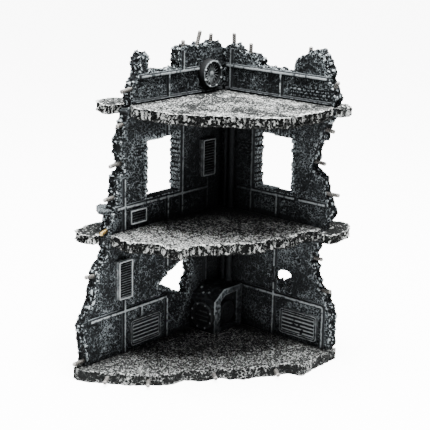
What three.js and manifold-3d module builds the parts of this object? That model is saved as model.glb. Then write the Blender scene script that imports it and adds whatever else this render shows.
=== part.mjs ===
// Corner ruin for a miniature gaming table: two broken walls of cast resin that meet
// at a right angle, three storeys of ragged floor slabs, wall framing, louvred vents,
// a wall fan, a machine housing in the corner and steel reinforcing rods.
//
// Millimetres, +Z up. While it is built, the origin is the inside corner of the walls at
// the top of the base plate: the left wall runs towards -Y and the right wall towards +X.
// The last lines move the whole ruin so that it stands on the origin.
//
// Pieces on a wall are drawn in that wall's own axes: u runs along the wall (world Y on
// the left wall, world X on the right wall), v is the height, and w is the distance out
// of the inner face into the room, so the wall itself fills w = -WALL .. 0.

import * as THREE from 'three';
import { mergeVertices } from 'three/addons/utils/BufferGeometryUtils.js';
import Module from 'manifold-3d';

const wasm = await Module();
wasm.setup();

// ---------------------------------------------------------------- driving dimensions
const WALL = 7;              // wall thickness
const GLUE = 0.3;            // gap left where one glued piece meets another
const SEAM = 0.1;            // gap between stacked wall panels
const BASE = 6.8;            // base plate thickness
const SLAB = 6.4;            // floor slab thickness
const LEDGE = 5.2;           // outer ledge thickness
const FLOOR_1 = 78;          // top of the first floor above the base plate
const FLOOR_2 = 153.8;       // top of the second floor
const WALL_TOP = 184;        // top of the broken top storey
const SEAM_1 = FLOOR_1 - SLAB / 2;   // height of the joint between wall panels
const SEAM_2 = FLOOR_2 - SLAB / 2;

const RAIL_TALL = 2.8;       // height of a horizontal wall rail
const RIB_WIDE = 2.6;        // width of a vertical wall rib
const TRIM = 1.6;            // how far rails and ribs stand out
const RAIL_1 = 27.6;         // centre heights of the three rails
const RAIL_2 = 92.8;
const RAIL_3 = 169.6;
const SKIRT_TALL = 1.9;      // skirting strip on the second floor

const WINDOW_WIDE = 27.9;
const WINDOW_LOW = 95;
const WINDOW_HIGH = 130.4;
const LEFT_WINDOW = -69.7;   // low u edge of the left windows
const RIGHT_WINDOW = 28.6;   // low u edge of the right windows
const SILL_3 = 172;          // sill of the two open top windows

const ROD = 1.2;             // reinforcing rod radius
const SOCKET = 5;            // how deep a rod is set into its socket

// ---------------------------------------------------------------- materials
const material = (color, roughness, metalness) =>
  new THREE.MeshStandardMaterial({ color, roughness, metalness });
const RESIN = material(0x43474a, 0.85, 0);
const FLOORING = material(0x5c6163, 0.85, 0);
const FRAMING = material(0x74797b, 0.7, 0);
const VENTS = material(0x8b8f90, 0.6, 0);
const STEEL = material(0x9a958b, 0.45, 0.6);
const BRASS = material(0xb58f45, 0.4, 0.8);

// ---------------------------------------------------------------- solids
function solid(geometry) {
  const bare = geometry.clone();
  bare.deleteAttribute('normal');
  bare.deleteAttribute('uv');
  const merged = mergeVertices(bare.index ? bare.toNonIndexed() : bare, 1e-4);
  return new wasm.Manifold(new wasm.Mesh({
    numProp: 3,
    vertProperties: new Float32Array(merged.attributes.position.array),
    triVerts: new Uint32Array(merged.index.array),
  }));
}

function geometryOf(body) {
  const { vertProperties, triVerts } = body.getMesh();
  const geometry = new THREE.BufferGeometry();
  geometry.setAttribute('position', new THREE.BufferAttribute(vertProperties, 3));
  geometry.setIndex(new THREE.BufferAttribute(triVerts, 1));
  return geometry;
}

const joined = (bodies) => bodies.reduce((sum, body) => sum.add(body));
const carved = (body, tools) => tools.reduce((left, tool) => left.subtract(tool), body);

// A closed outline of [a, b] points pulled from c = low to c = high along the third axis.
// ExtrudeGeometry only turns its holes the right way round inside a counterclockwise outline.
function prism(points, low, high, holes = []) {
  const loop = (list) => list.map(([a, b]) => new THREE.Vector2(a, b));
  const outer = loop(points);
  if (THREE.ShapeUtils.isClockWise(outer)) outer.reverse();
  const shape = new THREE.Shape(outer);
  for (const hole of holes) shape.holes.push(new THREE.Path(loop(hole)));
  const geometry = new THREE.ExtrudeGeometry(shape, { depth: high - low, bevelEnabled: false });
  return solid(geometry.translate(0, 0, low));
}

function box(a0, a1, b0, b1, c0, c1) {
  const geometry = new THREE.BoxGeometry(a1 - a0, b1 - b0, c1 - c0);
  return solid(geometry.translate((a0 + a1) / 2, (b0 + b1) / 2, (c0 + c1) / 2));
}

// A round bar from one point to another.
function bar(from, to, radius, sides = 12) {
  const start = new THREE.Vector3(...from);
  const along = new THREE.Vector3(...to).sub(start);
  const geometry = new THREE.CylinderGeometry(radius, radius, along.length(), sides);
  const turn = new THREE.Quaternion().setFromUnitVectors(
    new THREE.Vector3(0, 1, 0), along.clone().normalize());
  geometry.applyQuaternion(turn);
  return solid(geometry.translate(...start.addScaledVector(along, 0.5).toArray()));
}

const rectangle = (a0, a1, b0, b1) => [[a0, b0], [a1, b0], [a1, b1], [a0, b1]];

// ---------------------------------------------------------------- the scene graph
const ruin = new THREE.Group();
const leftWall = new THREE.Group();
const rightWall = new THREE.Group();
leftWall.setRotationFromMatrix(new THREE.Matrix4().makeBasis(
  new THREE.Vector3(0, 1, 0), new THREE.Vector3(0, 0, 1), new THREE.Vector3(1, 0, 0)));
rightWall.setRotationFromMatrix(new THREE.Matrix4().makeBasis(
  new THREE.Vector3(1, 0, 0), new THREE.Vector3(0, 0, 1), new THREE.Vector3(0, -1, 0)));
ruin.add(leftWall, rightWall);

function piece(group, name, body, look) {
  const mesh = new THREE.Mesh(geometryOf(body), look);
  mesh.name = name;
  group.add(mesh);
}

// ---------------------------------------------------------------- reinforcing rods
// Each rod comes out of a broken edge at a point, in a direction, by a length, and is set
// in a drilled socket. The same entry makes the rod and the hole.
function rodEnds([at, direction, length]) {
  const way = new THREE.Vector3(...direction).normalize();
  const root = new THREE.Vector3(...at);
  const inner = root.clone().addScaledVector(way, -SOCKET).toArray();
  const bottom = root.clone().addScaledVector(way, -SOCKET - GLUE).toArray();
  const tip = root.clone().addScaledVector(way, length).toArray();
  return { inner, bottom, tip };
}

function drilled(body, rods) {
  const drills = rods.map((rod) => {
    const { bottom, tip } = rodEnds(rod);
    return bar(bottom, tip, ROD + GLUE);
  });
  return carved(body, drills);
}

function addRods(group, prefix, rods, look = STEEL) {
  rods.forEach((rod, index) => {
    const { inner, tip } = rodEnds(rod);
    piece(group, `${prefix}_${index + 1}`, bar(inner, tip, ROD), look);
  });
}

const MID = -WALL / 2;       // rods in a wall run in its middle
const BASE_RODS = [
  [[15.5, -119.5, -BASE / 2], [0.5, -0.85, -0.12], 6],
  [[35.3, -104.8, -BASE / 2], [0.65, -0.75, -0.12], 7],
  [[57.3, -71, -BASE / 2], [0.8, -0.6, -0.12], 6],
  [[81.4, -41.5, -BASE / 2], [0.8, -0.6, -0.12], 6],
];
const LEFT_GROUND_RODS = [
  [[-121, 2.4, MID], [-1, 0.03, 0], 8],
  [[-112.2, 54, MID], [-1, 0.1, 0], 6.5],
];
const LEFT_MIDDLE_RODS = [
  [[-96.2, 98.9, MID], [-1, -0.04, 0], 6.8],
  [[-90.2, 118.9, MID], [-1, -0.08, 0], 8.4],
  [[-87.6, 142.2, MID], [-1, -0.1, 0], 5],
];
const BRASS_ROD = [[-102.6, 79.6, MID + 0.6], [-0.9, -0.3, -0.1], 4];
const LEFT_TOP_RODS = [
  [[-81.8, 162.3, MID], [-1, -0.1, 0], 6.6],
  [[-35.1, WALL_TOP - 0.5, MID], [0, 1, 0], 4.2],
  [[-22, WALL_TOP, MID], [0.34, 1, 0], 8.6],
  [[-8.9, WALL_TOP - 0.5, MID], [0, 1, 0], 6.2],
];
const RIGHT_GROUND_RODS = [
  [[74, 57, MID], [1, -0.05, 0], 6.6],
  [[82, 36.6, MID], [1, 0.15, 0], 6.2],
];
const RIGHT_MIDDLE_RODS = [
  [[82.2, 99.5, MID], [1, 0, 0], 8.6],
  [[73, 118, MID], [1, -0.12, 0], 6.8],
  [[80, 138.4, MID], [1, -0.12, 0], 5.2],
];
const RIGHT_TOP_RODS = [
  [[5, 181.5, MID], [0, 1, 0], 8.2],
  [[19, 178.5, MID], [0, 1, 0], 6.2],
  [[65.1, WALL_TOP, MID], [0, 1, 0], 3.2],
  [[84, 165, MID], [0.6, 0.8, 0], 4.2],
];

// ---------------------------------------------------------------- floors
// Ragged front edges of the base plate and of the two floors, walked from the left wall
// to the right wall.
const BASE_EDGE = [
  [-WALL, -122.5], [-5, -127], [0, -128.5], [5.5, -126.3], [11.9, -122], [16.8, -119],
  [22, -115.8], [27.5, -112.6], [31.7, -108.6], [36, -104.5], [40.5, -100], [44.2, -95.5],
  [45.2, -90], [45.8, -85], [49, -82], [53, -80.2], [56, -76], [57.5, -71], [60, -66.5],
  [65, -65], [68, -61.5], [71.5, -59.5], [73, -54.5], [76, -48.5], [80.5, -43.5],
  [82, -38], [84.5, -33.5], [89.5, -32.3], [93, -30.5], [92, -18], [91.5, -5], [91, WALL],
];
const FLOOR_1_EDGE = [
  [GLUE, -101.8], [2.7, -101.6], [8, -102.6], [15.7, -104.7], [19.9, -104.6],
  [23.3, -100], [29.6, -98], [34.4, -94.9], [40.2, -96], [45.4, -96.6], [50, -94.7],
  [51.5, -90.5], [50, -84.5], [51.5, -81.5], [54, -77.3], [58.5, -73.8], [61.3, -68.3],
  [64.8, -63.5], [68.4, -58.6], [71.5, -55.5], [73.8, -49.2], [73.6, -43.5],
  [74.8, -38.1], [78.2, -36], [80.3, -30.9], [78.4, -21.2], [78.4, -15.1], [80, -10.5],
  [82.2, -8], [82, -GLUE],
];
const FLOOR_2_EDGE = [
  [GLUE, -84.6], [2.6, -85.6], [8, -88.6], [14.1, -89.2], [19.5, -88.2], [24.8, -87.1],
  [29.6, -86.5], [35.5, -86.8], [39.6, -84.8], [44.5, -81.8], [50.4, -79.6],
  [53.6, -74.8], [58.2, -71.6], [63, -68.7], [68, -65.9], [73.7, -63.7], [77.7, -59.9],
  [82.4, -56.7], [85.5, -51.5], [88.4, -46.1], [89.4, -40.8], [88.8, -32.4],
  [88.9, -25.7], [90.2, -19.7], [89.5, -10.9], [87.8, -3.6], [86, -GLUE],
];

function addFloors() {
  const plate = prism([...BASE_EDGE, [-WALL, WALL]], -BASE, 0);
  piece(ruin, 'base_plate', drilled(plate, BASE_RODS), FLOORING);
  const inner = [GLUE, -GLUE];
  piece(ruin, 'first_floor', prism([...FLOOR_1_EDGE, inner], FLOOR_1 - SLAB, FLOOR_1), FLOORING);
  piece(ruin, 'second_floor', prism([...FLOOR_2_EDGE, inner], FLOOR_2 - SLAB, FLOOR_2), FLOORING);
}

// Remains of the floors outside the walls.
const LEFT_FACE = -WALL - GLUE;
const RIGHT_FACE = WALL + GLUE;
const LEDGES = {
  left_ledge_first: [FLOOR_1, [
    [LEFT_FACE, -50], [LEFT_FACE, -105.8], [-5, -106.5], [-5, -110.3], [-10, -112.4],
    [-15, -111.6], [-21, -110], [-23.2, -105.8], [-24.8, -98.3], [-26.5, -90.7],
    [-24.6, -85.5], [-21.5, -80], [-22.5, -73], [-18.5, -65], [-13.5, -60.5], [-11.5, -54],
  ]],
  left_ledge_second: [FLOOR_2, [
    [LEFT_FACE, -52], [LEFT_FACE, -94.8], [-11.5, -95.5], [-16.3, -93.4], [-22, -90.6],
    [-25.7, -87], [-27.2, -80.2], [-26.8, -74.6], [-22.7, -70.2], [-18, -66.4],
    [-17, -60], [-12, -55.5],
  ]],
  right_ledge_first: [FLOOR_1, [
    [54, RIGHT_FACE], [84.4, RIGHT_FACE], [85, 3], [86, -3], [88, -8.5], [91, -11.6],
    [95, -10.4], [96.6, -5.6], [95.7, 2], [93.8, 11.5], [90.6, 15.8], [86.5, 19.3],
    [82, 20.9], [76, 19.3], [72, 20.8], [66, 18], [62, 13.2], [57, 11.5],
  ]],
  right_ledge_second: [FLOOR_2, [
    [62, RIGHT_FACE], [88.2, RIGHT_FACE], [87.7, 3], [88.7, -2], [91.4, -3.2], [94, -0.8],
    [94.6, 3.7], [92, 8], [86.5, 13.8], [82, 12.6], [77, 14.2], [71, 12.4], [66, 9.4],
  ]],
};

function addLedges() {
  for (const [name, [top, outline]] of Object.entries(LEDGES)) {
    piece(ruin, name, prism(outline, top - LEDGE, top), FLOORING);
  }
}

// ---------------------------------------------------------------- walls
// Broken outer ends of each panel, walked upwards.
const LEFT_GROUND_END = [
  [-121, SEAM], [-120.6, 8], [-122.6, 14], [-122.6, 24], [-120.4, 30], [-117.6, 36],
  [-114.8, 42], [-112.8, 48], [-112, 55], [-109.4, 60], [-104.4, 64.3], [-103, 68],
  [-104, SEAM_1 - SEAM],
];
const LEFT_MIDDLE_END = [
  [-103.6, SEAM_1], [-102.2, 81], [-100.4, 86], [-98.4, 91], [-96, 96], [-95.3, 104],
  [-94.3, 111], [-90.8, 115.3], [-90, 120], [-92, 126], [-92.4, 134], [-88.6, 139.8],
  [-87, 144.4], [-87.6, SEAM_2 - SEAM],
];
const LEFT_TOP_EDGE = [
  [-86, SEAM_2], [-82.8, 155], [-83, 160], [-80, 166], [-77.4, 171.5], [-76.2, 178],
  [-74.4, 182.6], [-71.8, 184.2], [LEFT_WINDOW, 181.5], [LEFT_WINDOW, SILL_3],
  [LEFT_WINDOW + WINDOW_WIDE, SILL_3], [LEFT_WINDOW + WINDOW_WIDE, 182.5],
  [-38, 185], [-32, WALL_TOP], [-26, 182.8], [-19, WALL_TOP], [-13, 183], [-6, 184.6],
  [-1, 180.5], [WALL, 179],
];
const RIGHT_GROUND_END = [
  [89.4, SEAM], [89.6, 13], [88.6, 28], [85.4, 33], [81.6, 37], [78.8, 41], [76.6, 45],
  [75.8, 51], [73.6, 55.4], [75, 60], [77.4, 64.5], [78, SEAM_1 - SEAM],
];
const RIGHT_MIDDLE_END = [
  [79.2, SEAM_1], [82, 80], [85, 84], [87, 88], [85.4, 92], [83, 96], [81.6, 101],
  [80, 107.5], [77, 111], [72.8, 114.6], [72.2, 119.5], [74, 124.5], [76, 130],
  [78.6, 135], [80.5, 140], [82, 145.5], [83.6, SEAM_2 - SEAM],
];
const RIGHT_TOP_EDGE = [
  [85, SEAM_2], [85.4, 155], [87, 159], [85.2, 163.6], [83.2, 168], [82, 173],
  [79.6, 178], [77, 182.6], [73.6, 185.6], [69, 185], [64.4, 183], [60, 180],
  [RIGHT_WINDOW + WINDOW_WIDE, 178], [RIGHT_WINDOW + WINDOW_WIDE, SILL_3 - 1],
  [RIGHT_WINDOW, SILL_3 - 1], [RIGHT_WINDOW, 175.4], [24, 177.6], [15.5, 178.6],
  [11, 179.6], [7.5, 182.4], [2.5, 181.4],
];
const BREACH = [
  [-59.4, 37], [-54.8, 40], [-47.5, 44.7], [-42.8, 46], [-39, 50], [-33, 51.2],
  [-28.6, 47.5], [-27.4, 38], [-30.2, 33.5], [-31, 24.2], [-38.6, 26.4], [-44.4, 28],
  [-46.6, 31.2], [-53, 33.6],
];
const SMALL_BREACH = [
  [42.8, 39.2], [45.1, 41.8], [48.9, 42.6], [51, 44.2], [55.2, 44.8], [58.7, 43.2],
  [59.6, 38.6], [58.4, 34.2], [56.4, 34], [54.9, 38.2], [54.2, 39.6], [53.6, 36],
  [52.4, 31.8], [50.4, 31.6], [49, 35.6], [48.1, 38.2], [47.4, 34.6], [46, 33.6],
  [44, 36.6],
];
const windowHole = (low) => rectangle(low, low + WINDOW_WIDE, WINDOW_LOW, WINDOW_HIGH);

function addWalls() {
  const panel = (outline, holes = []) => prism(outline, -WALL, 0, holes);
  const leftPanels = {
    left_wall_ground: [[...LEFT_GROUND_END, [WALL, SEAM_1 - SEAM], [WALL, SEAM]],
      [BREACH], LEFT_GROUND_RODS],
    left_wall_middle: [[...LEFT_MIDDLE_END, [WALL, SEAM_2 - SEAM], [WALL, SEAM_1]],
      [windowHole(LEFT_WINDOW)], [...LEFT_MIDDLE_RODS, BRASS_ROD]],
    left_wall_top: [[...LEFT_TOP_EDGE, [WALL, SEAM_2]], [], LEFT_TOP_RODS],
  };
  const rightPanels = {
    right_wall_ground: [[...RIGHT_GROUND_END, [GLUE, SEAM_1 - SEAM], [GLUE, SEAM]],
      [SMALL_BREACH], RIGHT_GROUND_RODS],
    right_wall_middle: [[...RIGHT_MIDDLE_END, [GLUE, SEAM_2 - SEAM], [GLUE, SEAM_1]],
      [windowHole(RIGHT_WINDOW)], RIGHT_MIDDLE_RODS],
    right_wall_top: [[...RIGHT_TOP_EDGE, [GLUE, 180], [GLUE, SEAM_2]], [], RIGHT_TOP_RODS],
  };
  for (const [group, panels] of [[leftWall, leftPanels], [rightWall, rightPanels]]) {
    for (const [name, [outline, holes, rods]] of Object.entries(panels)) {
      piece(group, name, drilled(panel(outline, holes), rods), RESIN);
    }
  }
}

// A stub of the string course that ran round the outside of the middle storey: a thin shelf
// in front of the wall's broken end and along its outer face.
const COURSE_LOW = 90.1;
const COURSE_HIGH = 92.9;

function addCourseStub() {
  const stub = [
    [-0.2, -99.2], [-1.4, -105], [-7.5, -103.9], [-14.1, -99.2], [-16.6, -93.4],
    [-11.1, -91.3], [-WALL - GLUE, -90.4], [-WALL - GLUE, -99.2],
  ];
  piece(ruin, 'left_course_stub', prism(stub, COURSE_LOW, COURSE_HIGH), RESIN);
}

// ---------------------------------------------------------------- wall framing
const FRONT = GLUE + TRIM;
const rail = (u0, u1, height) =>
  box(u0, u1, height - RAIL_TALL / 2, height + RAIL_TALL / 2, GLUE, FRONT);
const rib = (u, v0, v1) => box(u - RIB_WIDE / 2, u + RIB_WIDE / 2, v0, v1, GLUE, FRONT);
const skirt = (u0, u1) => box(u0, u1, FLOOR_2 + GLUE, FLOOR_2 + GLUE + SKIRT_TALL, GLUE, FRONT);

const FOOT_1 = GLUE;                       // the clear height of each storey
const HEAD_1 = FLOOR_1 - SLAB - GLUE;
const FOOT_2 = FLOOR_1 + GLUE;
const HEAD_2 = FLOOR_2 - SLAB - GLUE;
const FOOT_3 = FLOOR_2 + GLUE;

const LEFT_RIBS = { a: -90.2, b: -75.6, c: -52.5, d: -39.4, e: -15.7 };
const RIGHT_RIBS = { f: 6.8, g: 26.2, h: 46.8, i: 85.6 };

// Vents and the fan hang on the walls, so the ribs behind them stop short.
const TALL_VENT_1 = { u: -97.2, v: 36, wide: 12.2, tall: 24.8 };
const TALL_VENT_2 = { u: -22, v: 100.2, wide: 12.4, tall: 24.2 };
const FAN = { u: -15.1, v: 165.5, r: 9.2 };
const HOUSING = { x: 20.6, y: -28, eaves: 21.8, ridge: 28.4, ridgeY: -18.5 };

function addFraming() {
  const { a, b, c, d, e } = LEFT_RIBS;
  const { f, g, h, i } = RIGHT_RIBS;
  const vent1Foot = TALL_VENT_1.v - GLUE;
  const vent2Foot = TALL_VENT_2.v - GLUE;
  const vent2Head = TALL_VENT_2.v + TALL_VENT_2.tall + GLUE;
  const aboveWindow = WINDOW_HIGH + 1;

  piece(leftWall, 'left_frame_ground', joined([
    rail(-119.6, c, RAIL_1), rib(a, FOOT_1, vent1Foot), rib(b, 21.4, RAIL_1),
    rib(c, FOOT_1, RAIL_1 - 0.2),
  ]), FRAMING);
  piece(leftWall, 'left_rib_breach', rib(c, 47, HEAD_1), FRAMING);
  piece(leftWall, 'left_rib_corner', rib(e, HOUSING.ridge + 1.6, HEAD_1), FRAMING);
  piece(leftWall, 'left_frame_middle', joined([
    rail(-97.4, e + RIB_WIDE / 2, RAIL_2), rib(a, FOOT_2, 111), rib(c, FOOT_2, WINDOW_LOW - 0.6),
    rib(d, FOOT_2, HEAD_2), rib(e, FOOT_2, vent2Foot),
  ]), FRAMING);
  piece(leftWall, 'left_rib_lintel', rib(c, aboveWindow, HEAD_2), FRAMING);
  piece(leftWall, 'left_frame_top', joined([
    rail(-77.4, FAN.u - FAN.r - GLUE, RAIL_3), rib(c, FOOT_3, RAIL_3),
    rib(d, RAIL_3, 182.4), skirt(-82.2, -2.6),
  ]), FRAMING);

  const blownAway = box(h - 0.6, h + 2, 36.4, 45.6, 0, 4);
  piece(rightWall, 'right_frame_ground', carved(joined([
    rail(HOUSING.x + GLUE, i, RAIL_1), rib(h, FOOT_1, HEAD_1), rib(i, FOOT_1, 28.4),
  ]), [blownAway]), FRAMING);
  const chip = box(61.4, 63.2, 85, 100, 1, 4);
  piece(rightWall, 'right_frame_middle', carved(joined([
    rail(13.8, 84.6, RAIL_2), rib(g, FOOT_2, HEAD_2), rib(h, FOOT_2, WINDOW_LOW - 0.6),
  ]), [chip]), FRAMING);
  piece(rightWall, 'right_rib_lintel', rib(h, aboveWindow, HEAD_2), FRAMING);
  piece(rightWall, 'right_frame_top', joined([
    rail(2.4, 82, RAIL_3), rib(f, FOOT_3, 180.4), rib(h, FOOT_3, RAIL_3), skirt(2.4, 84.6),
  ]), FRAMING);
}

// ---------------------------------------------------------------- vents and grilles
// A frame round a shallow recess with level slats in it, open to the front.
function louvre({ u, v, wide, tall }, deep, border, slats, slope = 0.55) {
  const back = GLUE;
  const floor = back + 0.8;
  const front = back + deep;
  const frame = carved(box(u, u + wide, v, v + tall, back, front),
    [box(u + border, u + wide - border, v + border, v + tall - border, floor, front + 1)]);
  const pitch = (tall - 2 * border) / slats;
  const parts = [frame];
  for (let k = 0; k < slats; k += 1) {
    const low = v + border + (k + 0.2) * pitch;
    const edge = 0.18 * pitch;
    const section = [
      [floor - 0.3, low + slope * pitch], [front - 0.4, low],
      [front - 0.4, low + edge], [floor - 0.3, low + slope * pitch + edge],
    ];
    const slat = new THREE.Shape(section.map(([w, h]) => new THREE.Vector2(w, h)));
    const length = wide - 2 * border + 0.4;
    const bladeShape = new THREE.ExtrudeGeometry(slat, { depth: length, bevelEnabled: false });
    bladeShape.applyMatrix4(new THREE.Matrix4().makeBasis(
      new THREE.Vector3(0, 0, 1), new THREE.Vector3(0, 1, 0), new THREE.Vector3(-1, 0, 0)));
    bladeShape.translate(u + wide - border + 0.2, 0, 0);
    parts.push(solid(bladeShape));
  }
  return joined(parts);
}

function addVents() {
  piece(leftWall, 'left_vent_ground', louvre(TALL_VENT_1, 3.4, 1.5, 14), VENTS);
  piece(leftWall, 'left_vent_middle', louvre(TALL_VENT_2, 3.2, 1.4, 12), VENTS);
  const lowLeft = { u: -85.8, v: 3.2, wide: 27.2, tall: 16.8 };
  const lowRight = { u: 52.8, v: 3.4, wide: 29.2, tall: 17 };
  const small = { u: -85.7, v: 80.8, wide: 14.2, tall: 9.3 };
  piece(leftWall, 'left_grille_ground', louvre(lowLeft, 2, 1.6, 5), VENTS);
  piece(leftWall, 'left_grille_middle', louvre(small, 1.8, 1.1, 4), VENTS);
  const missing = [box(64, 70.5, 9.8, 14.6, GLUE + 0.8, 6), box(67, 72.5, 6.6, 9.8, GLUE + 0.8, 6)];
  piece(rightWall, 'right_grille_ground', carved(louvre(lowRight, 2, 1.6, 5), missing), VENTS);
}

// ---------------------------------------------------------------- wall fan
const FAN_DEEP = 4;
const FAN_BOLTS = 8;
const FAN_BLADES = 18;

function addFan() {
  const at = (w) => [FAN.u, FAN.v, w];
  const back = GLUE;
  const front = back + FAN_DEEP;
  const ring = bar(at(back), at(front), FAN.r, 36).subtract(bar(at(back - 1), at(front + 1), 6.6, 36));
  const bolts = [];
  for (let k = 0; k < FAN_BOLTS; k += 1) {
    const angle = (2 * Math.PI * (k + 0.5)) / FAN_BOLTS;
    const u = FAN.u + 7.9 * Math.cos(angle);
    const v = FAN.v + 7.9 * Math.sin(angle);
    bolts.push(bar([u, v, front - 0.5], [u, v, front + 0.6], 0.8, 8));
  }
  piece(leftWall, 'fan_ring', joined([ring, ...bolts]), VENTS);

  const hub = bar(at(back), at(front - 0.6), 2, 20);
  const blades = [];
  for (let k = 0; k < FAN_BLADES; k += 1) {
    const blade = new THREE.BoxGeometry(6, 0.5, 2.6);
    blade.rotateX(0.75);
    blade.translate(3.1, 0, 0);
    blade.rotateZ((2 * Math.PI * k) / FAN_BLADES);
    blade.translate(FAN.u, FAN.v, back + 1.6);
    blades.push(solid(blade));
  }
  piece(leftWall, 'fan_rotor', joined([hub, ...blades]), VENTS);
}

// ---------------------------------------------------------------- corner machine
// A sheet housing in the corner: a riveted round hatch faces the room on the front, a hood
// slopes back to the pipe roof, and the side has a framed recess with a drum in it.
const HATCH = { u: 11.1, v: 11.1, r: 9.3 };
const RECESS = 4;

function addMachine() {
  const { x, y, eaves, ridge, ridgeY } = HOUSING;
  const profile = [[y, SEAM], [y, eaves], [ridgeY, ridge], [-GLUE, ridge], [-GLUE, SEAM]];
  const opening = [[-21.6, 3], [-6, 3], [-6, 24.2], [-17, 24.2], [-21.6, 20.8]];
  const slope = new THREE.Vector2(ridgeY - y, ridge - eaves).normalize();
  const rivets = [[3.4, 0.72], [7.4, 0.4], [11.6, 0.5]].map(([w, along]) => {
    const u = y + along * (ridgeY - y);
    const v = eaves + along * (ridge - eaves);
    return bar([u + slope.y, v - slope.x, w], [u - slope.y * 0.6, v + slope.x * 0.6, w], 1, 10);
  });
  const body = prism(profile, GLUE, x).subtract(prism(opening, x - RECESS, x + 1));
  const drum = bar([-14, 12, x - RECESS - 1], [-14, 12, x - 1], 7.2, 24);
  piece(leftWall, 'machine_housing', joined([body, drum, ...rivets]), FRAMING);

  const front = -y + GLUE;
  const at = (w) => [HATCH.u, HATCH.v, w];
  const disc = bar(at(front), at(front + 1), HATCH.r - 0.5, 32);
  const rim = bar(at(front), at(front + 2), HATCH.r, 32)
    .subtract(bar(at(front - 1), at(front + 3), HATCH.r - 2.2, 32));
  const slats = [-3, 0, 3].map((rise) =>
    box(HATCH.u - 5, HATCH.u + 5, HATCH.v + rise - 0.8, HATCH.v + rise + 0.5, front, front + 1.8));
  const bolts = [];
  for (let k = 0; k < 8; k += 1) {
    const angle = (2 * Math.PI * (k + 0.5)) / 8;
    const u = HATCH.u + (HATCH.r - 1.1) * Math.cos(angle);
    const v = HATCH.v + (HATCH.r - 1.1) * Math.sin(angle);
    bolts.push(bar([u, v, front + 1.5], [u, v, front + 2.6], 0.85, 8));
  }
  piece(rightWall, 'machine_hatch', joined([disc, rim, ...slats, ...bolts]), VENTS);
}

// Pipes that stand in the corner on the machine's roof and on the first floor.
const PIPES = { thin: { x: 6.2, r: 1.2 }, thick: { x: 11.2, r: 1.8 } };
const PIPE_OUT = 3.6;

function addPipes() {
  for (const [name, { x, r }] of Object.entries(PIPES)) {
    const pipe = (v0, v1) => bar([x, v0, PIPE_OUT], [x, v1, PIPE_OUT], r, 16);
    piece(rightWall, `pipe_${name}_ground`, pipe(HOUSING.ridge + GLUE, HEAD_1), STEEL);
    piece(rightWall, `pipe_${name}_middle`, pipe(FOOT_2, HEAD_2), STEEL);
  }
}

// ---------------------------------------------------------------- assembly
addFloors();
addLedges();
addWalls();
addCourseStub();
addFraming();
addVents();
addFan();
addMachine();
addPipes();
addRods(ruin, 'base_rod', BASE_RODS);
addRods(leftWall, 'left_ground_rod', LEFT_GROUND_RODS);
addRods(leftWall, 'left_middle_rod', LEFT_MIDDLE_RODS);
addRods(leftWall, 'brass_rod', [BRASS_ROD], BRASS);
addRods(leftWall, 'left_top_rod', LEFT_TOP_RODS);
addRods(rightWall, 'right_ground_rod', RIGHT_GROUND_RODS);
addRods(rightWall, 'right_middle_rod', RIGHT_MIDDLE_RODS);
addRods(rightWall, 'right_top_rod', RIGHT_TOP_RODS);

// Stand the ruin on the origin, centred.
ruin.updateMatrixWorld(true);
const bounds = new THREE.Box3().setFromObject(ruin, true);
const middle = bounds.getCenter(new THREE.Vector3());
ruin.position.set(-middle.x, -middle.y, -bounds.min.z);
ruin.updateMatrixWorld(true);

export default ruin;
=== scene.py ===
# %% [markdown]
# # A corner ruin for the gaming table
# The real thing is cast in dark resin and painted: a near-black base coat, then a nearly dry
# brush of light grey dragged over it, so that paint catches only on what stands proud. This
# lesson builds that look. Every surface is worked out with numpy on a grid, and each point
# remembers how high it stands, so one paint recipe can find the high spots by itself.

# %% Load the fixed frame
import math

import bpy
import numpy as np
from mathutils import Matrix, Vector


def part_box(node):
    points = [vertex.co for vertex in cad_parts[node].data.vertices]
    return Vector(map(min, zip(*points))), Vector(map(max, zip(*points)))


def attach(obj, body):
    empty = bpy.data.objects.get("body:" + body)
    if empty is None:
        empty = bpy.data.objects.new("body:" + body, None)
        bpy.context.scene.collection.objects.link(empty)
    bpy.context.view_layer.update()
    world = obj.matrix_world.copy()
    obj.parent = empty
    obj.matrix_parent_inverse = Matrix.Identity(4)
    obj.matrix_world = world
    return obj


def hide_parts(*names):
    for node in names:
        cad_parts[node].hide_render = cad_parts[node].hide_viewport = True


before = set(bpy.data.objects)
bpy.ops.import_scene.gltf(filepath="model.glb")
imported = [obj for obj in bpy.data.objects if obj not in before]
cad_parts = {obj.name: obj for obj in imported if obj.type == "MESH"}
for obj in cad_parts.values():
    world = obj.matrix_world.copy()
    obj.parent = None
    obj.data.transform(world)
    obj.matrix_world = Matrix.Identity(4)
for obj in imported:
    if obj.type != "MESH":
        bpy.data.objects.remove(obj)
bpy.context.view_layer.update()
MM = 0.001

# %% [markdown]
# ## Where the walls meet
# All the work is done in millimetres from the inside corner of the two walls, at the top of
# the base plate. The frame gives that corner: the inner face of the left wall, the inner face
# of the right wall and the top of the base. A wall is drawn flat, with u along the wall, v up
# and w out of the inner face into the room, and one small function stands it up. The boards
# could be objects with their own rotation, but each would then have to be applied to its mesh.

# %% The corner and the three drawing boards
def low(node):
    """The lowest corner of a node's box, in millimetres."""
    return np.array(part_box(node)[0]) / MM


def high(node):
    """The highest corner of a node's box, in millimetres."""
    return np.array(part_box(node)[1]) / MM


CORNER = np.array([high("left_wall_ground")[0], low("right_wall_ground")[1], high("base_plate")[2]])
WALL = high("left_wall_ground")[0] - low("left_wall_ground")[0]
FLOOR_1 = high("first_floor")[2] - CORNER[2]
FLOOR_2 = high("second_floor")[2] - CORNER[2]
BASE = high("base_plate")[2] - low("base_plate")[2]
SLAB = high("first_floor")[2] - low("first_floor")[2]
LEDGE = high("left_ledge_first")[2] - low("left_ledge_first")[2]

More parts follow.
